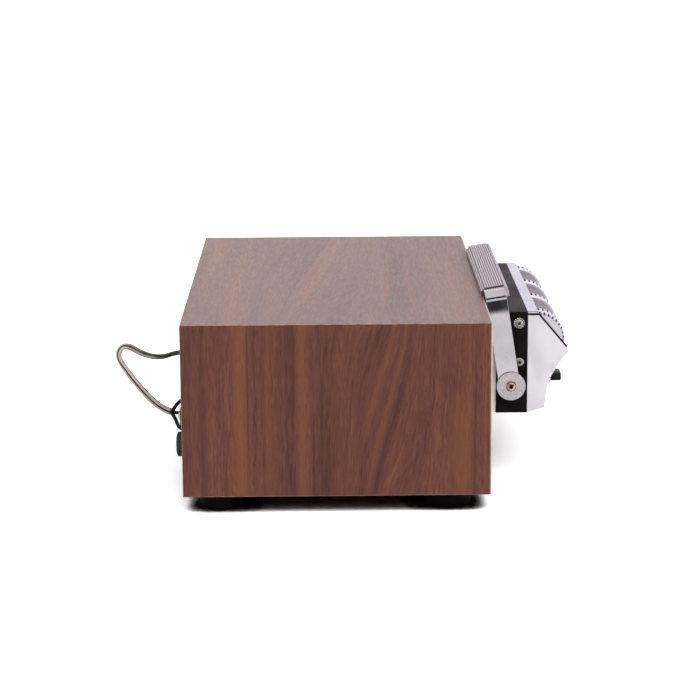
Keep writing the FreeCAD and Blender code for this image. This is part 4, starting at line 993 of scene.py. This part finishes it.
# ================================================================ screws
def cross_head(radius, tall):
    """A pan head with a cross recess on a wider seat, the seat at the origin and the top along +Z."""
    rim, seat, thin = tall * 0.58, radius * 1.06, 0.00006
    radius *= 0.88
    profile = [(0.0, 0.0), (seat, 0.0), (seat, thin), (radius * 0.98, 2 * thin), (radius, rim * 0.35)]
    for step in range(7):
        angle = math.radians(12 + 13 * step)
        profile.append((radius * math.cos(angle), rim * 0.5 + (tall - rim * 0.5) * math.sin(angle)))
    head = turned("head", [*profile, (0.0, tall)], 36, None)
    reach, half = radius * 0.62, radius * 0.26
    for across, along in ((X, Y), (Y, X)):
        points = [across * (a * reach * grow) + along * (b * half * (0.75 + 0.25 * grow)) + Z * height
                  for height, grow in ((tall * 0.2, 0.45), (tall + 0.001, 1.12))
                  for a, b in ((-1, -1), (1, -1), (1, 1), (-1, 1))]
        tool = solid("tool", points, tube_faces(2, 4))
        modified(head, "BOOLEAN", operation="DIFFERENCE", object=tool, solver="EXACT")
        bpy.data.objects.remove(tool)
    # marks for the recess colour, dirt and painted shade: 1 on the thin wider seat, a dark ring round the head, and 3
    # on the cross's walls
    marks = head.data.attributes.new("corner", "FLOAT", "FACE")
    for mark, face in zip(marks.data, head.data.polygons):
        spot = face.center
        inside = math.hypot(spot.x, spot.y) < reach * 1.25
        if spot.z < 2.2 * thin:
            mark.value = 1.0
        elif inside and (face.normal.z < 0.9 or spot.z < tall * 0.5):
            mark.value = 3.0
    smooth(head.data, 40)
    return head


class PLAYER_OT_screws(bpy.types.Operator):
    """Puts the cross-head screws in their seats at the back, on the terminals and on the player's sides"""
    bl_idname = "player.screws"
    bl_label = "Screws"

    def execute(self, context):
        # node: (the way that its heads face or None for sideways, their radius or None for the node's, their look)
        groups = {
            "rear_panel_screws": (-X, 0.0036, "nickel"), "terminal_screws": (-X, None, "brass"),
            "housing_screws": (None, 0.0031, "nickel"), "pivot_screws": (None, 0.0036, "brown_nickel"),
        }
        tall, first_spin, next_spin = 0.0020, 0.35, 1.13
        for order, (node, (back, radius, look)) in enumerate(groups.items()):
            places = []
            for index, (low, high) in enumerate(islands(node)):
                way = back or sideways(low, high)
                radius = radius or (high.z - low.z) / 2
                spin = first_spin + next_spin * (index + order)
                places.append((outward(low, high, way) - way * tall, way, spin))
            settle(on_seats(node + "_heads", cross_head(radius, tall), places, look), node)
        paint("star_washers")
        return {"FINISHED"}


# ================================================================ rear controls
class PLAYER_OT_rear_controls(bpy.types.Operator):
    """Makes the ribbed rear knob, the terminal strip and the grommet"""
    bl_idname = "player.rear_controls"
    bl_label = "Rear controls"

    def execute(self, context):
        low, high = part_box("rear_knob")
        radius, middle, long = (high.z - low.z) / 2, (low + high) / 2, 0.0147
        profile = [(0.0, long), (radius * 0.70, long), (radius * 0.84, long - 0.0004), (radius * 0.90, long - 0.0012),
                   (radius * 0.93, long * 0.5), (radius * 0.94, 0.0016), (radius * 0.99, 0.0012), (radius, 0.0008),
                   (radius * 0.99, 0.0002), (radius * 0.97, 0.0), (0.0, 0.0)]
        rib = block("rib", (radius * 0.90, -0.0005, 0.0018), (radius, 0.0005, long - 0.0010), 0.0003)
        knob = grown(turned("rear_knob_grip", profile), "ring_of_copies", Count=24, Shape=rib,
                     Turn=(0.0, -math.pi / 2, 0.0), Centre=(low.x + long, middle.y, middle.z),
                     Material=finish("knob_black"))
        settle(knob, "rear_knob")
        dressed("terminal_strip", 0.0005)
        dressed("cord_grommet", 0.0004)
        paint("rear_pot", "transformer_core", "transformer_winding")
        return {"FINISHED"}


# ================================================================ the player
SIDES = {"right": -1, "left": 1}


class PLAYER_OT_housing(bpy.types.Operator):
    """Finishes the black front housing, the cream can behind it and the dock that holds it"""
    bl_idname = "player.housing"
    bl_label = "Housing and can"

    def execute(self, context):
        dressed("front_housing", chosen("metal").corner)
        dressed("chassis_cover", 0.0003)
        dressed("chassis_tray", 0.0003)
        paint("dock_bracket")
        low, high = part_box("front_housing")
        for name, side in SIDES.items():
            wall = low.y if side < 0 else high.y
            plate = block("screw_plate_" + name, (high.x - 0.0116, wall, high.z - 0.0178),
                          (high.x - 0.0004, wall + side * 0.0006, high.z - 0.0034), 0.00025)
            settle(plate, "front_housing", "black_metal", stands=False)
        return {"FINISHED"}


class PLAYER_OT_nose(bpy.types.Operator):
    """Finishes the silver cheeks, the crown, the lower fascia and the black strips between them"""
    bl_idname = "player.nose"
    bl_label = "Nose"

    def execute(self, context):
        for node in ("cheek_right", "cheek_left"):
            dressed(node, 0.0007, segments=3)
        dressed("fascia_crown", 0.0002, "crown_silver")
        dressed("fascia_lower", 0.0003)
        dressed("cheek_gaskets", 0.0002)
        # what ends the crown on each side: (part, look, inner and outer side, bottom, top)
        parts = (("bead", "chrome", 0.0942, 0.09525, 0.12285, 0.12418),
                 ("seam", "gap_black", 0.0936, 0.0942, 0.1236, 0.12413))
        for name, side in SIDES.items():
            for part, look, inner, outer, bottom, top in parts:
                end = block("crown_%s_%s" % (part, name), (0.1108, side * inner, bottom),
                            (0.11835, side * outer, top), 0.0002)
                settle(end, "fascia_crown", look, stands=False)
        dressed("cartridge_door", 0.0003)
        paint("cartridge_guide", "door_pin", "door_spring", "program_switch")
        return {"FINISHED"}


class PLAYER_OT_wheels(bpy.types.Operator):
    """Makes the four silvered thumbwheels, with their teeth, and black pieces that paint shade into the gaps between
    the teeth
    """
    bl_idname = "player.wheels"
    bl_label = "Thumbwheels"

    def execute(self, context):
        values = chosen("wheels")
        wide, pitch, first_middle, edge = 0.0155, 0.055, -0.0825, 0.0003
        for index, node in enumerate(("volume_wheel", "bass_wheel", "treble_wheel", "balance_wheel")):
            low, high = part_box(node)
            name, radius = node.replace("_wheel", "_thumbwheel"), (high.z - low.z) / 2
            root = radius - values.depth
            # the first wheel shows its right end too, as a silver face inside a short row of teeth
            shown = index == 0
            first, last = values.end_reach if shown else 0.0, wide - values.reach
            place = ((low.x + high.x) / 2, first_middle + pitch * index - wide / 2, (low.z + high.z) / 2)
            rim = [(0.0, first), (root, first), (radius - edge, first), (radius, first + edge),
                   (radius, last - edge), (radius - edge, last), (root, last), (0.0, last)]
            wheel = turned(name, rim, 144)
            tooth = self.tooth(root, radius, last - edge, wide)
            if shown:
                other = self.tooth(root, radius, 0.0, first + edge)
                with editing(tooth.data) as work:
                    work.from_mesh(other.data)
                bpy.data.objects.remove(other)
            grown(wheel, "ring_of_copies", Count=values.teeth, Shape=tooth, Turn=(-math.pi / 2, 0.0, 0.0),
                  Centre=place, Material=finish("silver_plastic"))
            settle(wheel, node)

            start = [(0.0, edge), (root - edge, edge), (root, 2 * edge)]
            if shown:
                start = [(0.0, 2 * edge), (root, 2 * edge), (root, 2 * edge)]
            # painted shade: a black core under the rows of teeth, seen as the floor of each gap
            further = {"core": ("gap_black", [*start, (root, wide - 2 * edge), (root - edge, wide - edge),
                                              (0.0, wide - edge)])}
            # a black washer just inside each row's open end, painted shade, so that the gaps between its teeth are
            # seen dark
            ends = [(wide - 0.00035, wide - 0.0001)] + [(first - 0.00025, first - 0.00002)] * shown
            inner, outer = root - 0.0006, radius - 0.0002
            for number, (near, far) in enumerate(ends, 1):
                further["gap_%d" % number] = "gap_black", [(inner, near), (outer, near), (outer, far), (inner, far)]
            if shown:
                further["face"] = "wheel_face", [(0.0, 0.00015), (inner, 0.00015), (root - 0.0002, 0.0004),
                                                 (root - 0.0002, 0.0012), (0.0, 0.0012)]
            for part, (look, profile) in further.items():
                made = turned("%s_%s" % (name, part), profile, 96)
                made.data.transform(Matrix.Translation(place) @ Matrix.Rotation(-math.pi / 2, 4, "X"))
                settle(made, node, look, stands=False)
        return {"FINISHED"}

    def tooth(self, root, radius, near, far):
        """One tooth on the rim, from one place to another along the wheel's axis."""
        half = chosen("wheels").tooth / 2
        return block("tooth", (root - 0.0004, -half, near), (radius, half, far), 0.0003)


class PLAYER_OT_drums(bpy.types.Operator):
    """Finishes the grey drums between the thumbwheels and the controls inside them"""
    bl_idname = "player.drums"
    bl_label = "Drums"

    def execute(self, context):
        dressed("dial_shrouds", 0.0003, "drum_grey")
        paint("control_pots")
        return {"FINISHED"}


class PLAYER_OT_button(bpy.types.Operator):
    """Finishes the black program button"""
    bl_idname = "player.button"
    bl_label = "Program button"

    def execute(self, context):
        dressed("program_button", 0.0005, segments=3)
        return {"FINISHED"}


# ================================================================ handle
def handle_place():
    """The matrix of the handle: its origin on the pivot, its +Z along the leaning straps."""
    low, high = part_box("pivot_discs")
    middle = (low + high) / 2
    return Matrix.Translation((middle.x, 0, middle.z)) @ Matrix.Rotation(-chosen("grip").lean, 4, "Y")


def pressed_in(strap):
    """Curves a strap gently inwards below its bend, as a press does, and lifts the bend into the grip's notch."""
    start, full, depth, lift, cuts = 0.0506, 0.0607, 0.0020, 0.0019, 14
    place = handle_place()
    back = place.inverted()
    with editing(strap.data) as work:
        for step in range(cuts + 1):
            cut = place @ Vector((0, 0, start + (full - start) * step / cuts))
            bmesh.ops.bisect_plane(work, geom=work.verts[:] + work.edges[:] + work.faces[:], dist=1e-7,
                                   plane_co=cut, plane_no=place.to_3x3() @ Z)
        for vert in work.verts:
            spot = back @ vert.co
            if spot.z > start:
                part = min(1.0, (spot.z - start) / (full - start)) ** 2
                vert.co = place @ (spot + Vector((0, math.copysign(depth * part, -spot.y), lift * part)))


class PLAYER_OT_straps(bpy.types.Operator):
    """Finishes the handle's two plated straps, with their pivots"""
    bl_idname = "player.straps"
    bl_label = "Handle straps"

    def execute(self, context):
        for node in ("handle_strap_right", "handle_strap_left"):
            dressed(node, 0.00035, segments=3, shape=pressed_in)
        found = islands("pivot_discs")
        places = [(outward(low, high, sideways(low, high)), sideways(low, high), 0.0) for low, high in found]
        low, high = found[0]
        radius, thick, back_edge, edge, groove = (high.z - low.z) / 2, high.y - low.y, 0.0003, 0.00015, 0.00004
        profile = [(0.0, -thick), (radius - back_edge, -thick), (radius, back_edge - thick), (radius, -edge),
                   (radius - edge, 0.0), (radius * 0.62, 0.0), (radius * 0.60, -groove), (radius * 0.40, -groove),
                   (radius * 0.38, 0.0), (0.0, 0.0)]
        settle(on_seats("pivot_disc_pair", turned("disc", profile), places, "silver_face"), "pivot_discs")
        paint("pivot_bushes")
        return {"FINISHED"}


class PLAYER_OT_grip(bpy.types.Operator):
    """Makes the handle's ribbed grip"""
    bl_idname = "player.grip"
    bl_label = "Grip"

    def execute(self, context):
        # Makes the handle's ribbed grip, with painted shade between its ribs and on its notches' walls
        values = chosen("grip")
        lean = handle_place()
        body = dressed("handle_grip", 0.00015)
        body.data.materials.append(finish("grip_groove"))
        # the faces between the ribs and the notches' walls take the groove colour: painted shade
        notch_near, notch_far = 0.0830, 0.0917
        for face in body.data.polygons:
            spot = lean.inverted() @ face.center
            fall = values.rise - spot.z
            planes = (fall, spot.x + values.back + fall - values.edge, values.front - spot.x + fall - values.edge)
            floor = min(abs(plane) for plane in planes) < 0.00006 and fall < values.edge
            wall = abs(face.normal.y) > 0.5 or face.normal.x < -0.5
            notch = notch_near < abs(spot.y) < notch_far and fall > 0.0003 and wall
            if floor or notch:
                face.material_index = len(body.data.materials) - 1
        step = (values.front + values.back - 2 * values.edge) / (2 * values.ribs + 1)
        slope = math.sqrt(0.5)
        top, side = values.rise, values.rise - step * slope
        rear, front = values.edge - values.back, values.front - values.edge
        # where each row starts, how it is turned, which way it goes on, how many ribs it has and how long they are
        rows = {
            "top": (rear + 1.5 * step, top, 0, (1, 0), values.ribs, values.short),
            "rear": (rear - step * slope, side, -45, (-slope, -slope), 2, values.short),
            "front": (front + step * slope, side, 45, (slope, -slope), 2, values.long),
        }
        for name, (across, rise, turn, way, count, long) in rows.items():
            rib = self.rib(step * 0.62, long)
            upright = Matrix.Rotation(math.radians(turn), 4, "Y")
            rib.data.transform(lean @ Matrix.Translation((across, 0, rise)) @ upright)
            stride = lean.to_3x3() @ Vector((2 * step * way[0], 0, 2 * step * way[1]))
            ribs_name = "handle_grip_%s_ribs" % name
            ribs = grown(new_object(ribs_name, bpy.data.meshes.new(ribs_name)), "row_of_copies", Count=count,
                         Step=stride, Shape=rib, Material=finish("grey_plastic"))
            settle(ribs, "handle_grip", stands=False)
        return {"FINISHED"}

    def rib(self, half, long):
        """One rib along Y with a flat, rounded top, its foot a little below the origin."""
        sunk, tall, flatness, shoulder, count = 0.0001, 0.00059, 0.6, 0.0003, 13
        end, points = long / 2, []
        for y, size in ((-end, 0.8), (-end + shoulder, 1.0), (end - shoulder, 1.0), (end, 0.8)):
            for turn in range(count):
                wide, high = math.cos(math.pi * turn / (count - 1)), math.sin(math.pi * turn / (count - 1))
                points.append((half * math.copysign(abs(wide) ** flatness, wide), y,
                               tall * abs(high) ** flatness * size - sunk))
        return solid("rib", points, tube_faces(4, count), 50)


# ================================================================ the drive inside
class PLAYER_OT_drive(bpy.types.Operator):
    """Finishes the tape drive and the amplifier inside the player"""
    bl_idname = "player.drive"
    bl_label = "Tape drive"

    def execute(self, context):
        paint("deck_plate", "drive_motor", "motor_pulley", "drive_belt", "flywheel", "capstan_bearing",
              "head_carriage", "tape_head", "head_guide_pins", "step_cam", "solenoid", "solenoid_plunger",
              "amplifier_board")
        return {"FINISHED"}


# ================================================================ stage
def bare_tree(owner):
    """The emptied node tree of a new material or world."""
    owner.use_nodes = True
    owner.node_tree.nodes.clear()
    return owner.node_tree


def seen_plainly(tree, mirrored=1.0):
    """1 where something is seen by the camera, a share of that in metal or glass, and 0 where it gives light."""
    light = add(tree, "ShaderNodeLightPath")
    metal = light["Is Glossy Ray"].maths("MAXIMUM", light["Is Transmission Ray"])
    return light["Is Camera Ray"].maths("MAXIMUM", metal * mirrored)


class PLAYER_OT_stage(bpy.types.Operator):
    """Makes the pale floor, the white surroundings and the soft light"""
    bl_idname = "player.stage"
    bl_label = "Stage"

    def execute(self, context):
        values = chosen("stage")
        floor = solid("floor", [(-12, -8, 0), (12, -8, 0), (12, 16, 0), (-12, 16, 0)], [(0, 1, 2, 3)])
        floor.data.materials.append(self.paper(values.floor))

        world = bpy.data.worlds.new("surroundings")
        tree = bare_tree(world)
        strength = seen_plainly(tree) * (1.0 - values.sky) + values.sky
        surround = add(tree, "ShaderNodeBackground", {"Color": (1.0, 1.0, 1.0), "Strength": strength})
        add(tree, "ShaderNodeOutputWorld", {"Surface": surround[0]})
        context.scene.world = world

        # soft light from far off: (name, strength, where it comes from, how wide in degrees)
        for name, strength, way, wide in (
                ("overhead", values.above, (-0.1, 0.15, 1.0), 60),
                ("above_camera", values.front, (0.25, -1.0, 1.5), 60),
                ("front_side", values.sides, (1.0, 0.1, 0.8), 45), ("rear_side", values.sides, (-1.0, 0.4, 0.8), 45)):
            data = bpy.data.lights.new(name, "SUN")
            data.energy, data.angle = strength, math.radians(wide)
            lamp = new_object(name, data)
            lamp.matrix_world = Matrix.Translation(Vector(way) * 3.0) @ facing(way).to_4x4()
            lamp.visible_glossy = False

        # a card behind the camera that only metal mirrors: bright at its foot, dark above
        card = solid("dark_card", [(-3, -2.4, 0), (3, -2.4, 0), (3, -2.4, 1.3), (-3, -2.4, 1.3)], [(0, 1, 2, 3)])
        made = bpy.data.materials.new("dark_card")
        tree = bare_tree(made)
        height = add(tree, "ShaderNodeSeparateXYZ", {0: add(tree, "ShaderNodeTexCoord")["Object"]})[2]
        shade = height.span(0.0, 0.45).blend((1.05, 1.05, 1.06), (0.03, 0.032, 0.045))
        glow = add(tree, "ShaderNodeEmission", {"Color": shade, "Strength": 1.0})[0]
        add(tree, "ShaderNodeOutputMaterial", {"Surface": glow})
        card.data.materials.append(made)
        card.visible_camera = card.visible_diffuse = card.visible_shadow = card.visible_transmission = False
        context.scene.view_settings.view_transform = "Standard"
        return {"FINISHED"}

    def paper(self, base):
        """The floor's material: lifted towards white where it is seen, with a near-black painted shadow in the gap
        under the cabinet.
        """
        made = bpy.data.materials.new("floor_paper")
        tree = bare_tree(made)
        fine = noise(add(tree, "ShaderNodeTexCoord")["Object"], 900.0)
        # painted shadow: ambient occlusion turns the floor near black where the cabinet is close above it
        near = add(tree, "ShaderNodeAmbientOcclusion", {"Distance": 0.02}, samples=16)["AO"]
        outside_painted_shadow = near.span(0.36, 0.54)
        shade = outside_painted_shadow.blend((0.02, 0.012, 0.01), fine.blend(dimmed(base, 0.985), base))
        plain = add(tree, "ShaderNodeBsdfDiffuse", {"Color": shade})[0]
        lift = add(tree, "ShaderNodeBsdfDiffuse", {"Color": outside_painted_shadow.blend((0.0, 0.0, 0.0), (0.8, 0.8, 0.8))})[0]
        bright = add(tree, "ShaderNodeAddShader", {0: plain, 1: lift})[0]
        both = add(tree, "ShaderNodeMixShader", {0: seen_plainly(tree, 0.2), 1: plain, 2: bright})[0]
        add(tree, "ShaderNodeOutputMaterial", {"Surface": both})
        return made


# ================================================================ the add-on
OPERATORS = (
    PLAYER_OT_camera, PLAYER_OT_lead, PLAYER_OT_cabinet, PLAYER_OT_panels, PLAYER_OT_feet, PLAYER_OT_screws,
    PLAYER_OT_rear_controls, PLAYER_OT_housing, PLAYER_OT_nose, PLAYER_OT_wheels, PLAYER_OT_drums,
    PLAYER_OT_button, PLAYER_OT_straps, PLAYER_OT_grip, PLAYER_OT_drive, PLAYER_OT_stage,
)


class PLAYER_PT_pieces(bpy.types.Panel):
    """Lists the player's pieces and their settings"""
    bl_idname = "PLAYER_PT_pieces"
    bl_label = "Tape player"
    bl_space_type = "VIEW_3D"
    bl_region_type = "UI"
    bl_category = "Tape player"

    def draw(self, context):
        for kind in OPERATORS:
            self.layout.operator(kind.bl_idname)
        for name, group in SETTINGS.items():
            box = self.layout.box()
            box.label(text=group.__doc__)
            for key in group.__annotations__:
                box.prop(chosen(name), key)


CLASSES = (*SETTINGS.values(), *OPERATORS, PLAYER_PT_pieces)


def register():
    for kind in CLASSES:
        bpy.utils.register_class(kind)
    for name, group in SETTINGS.items():
        setattr(bpy.types.Scene, "player_" + name, PointerProperty(type=group))


def unregister():
    for name in SETTINGS:
        delattr(bpy.types.Scene, "player_" + name)
    for kind in reversed(CLASSES):
        bpy.utils.unregister_class(kind)


def main():
    register()
    for kind in OPERATORS:
        group, name = kind.bl_idname.split(".")
        getattr(getattr(bpy.ops, group), name)()


if __name__ == "__main__":
    main()
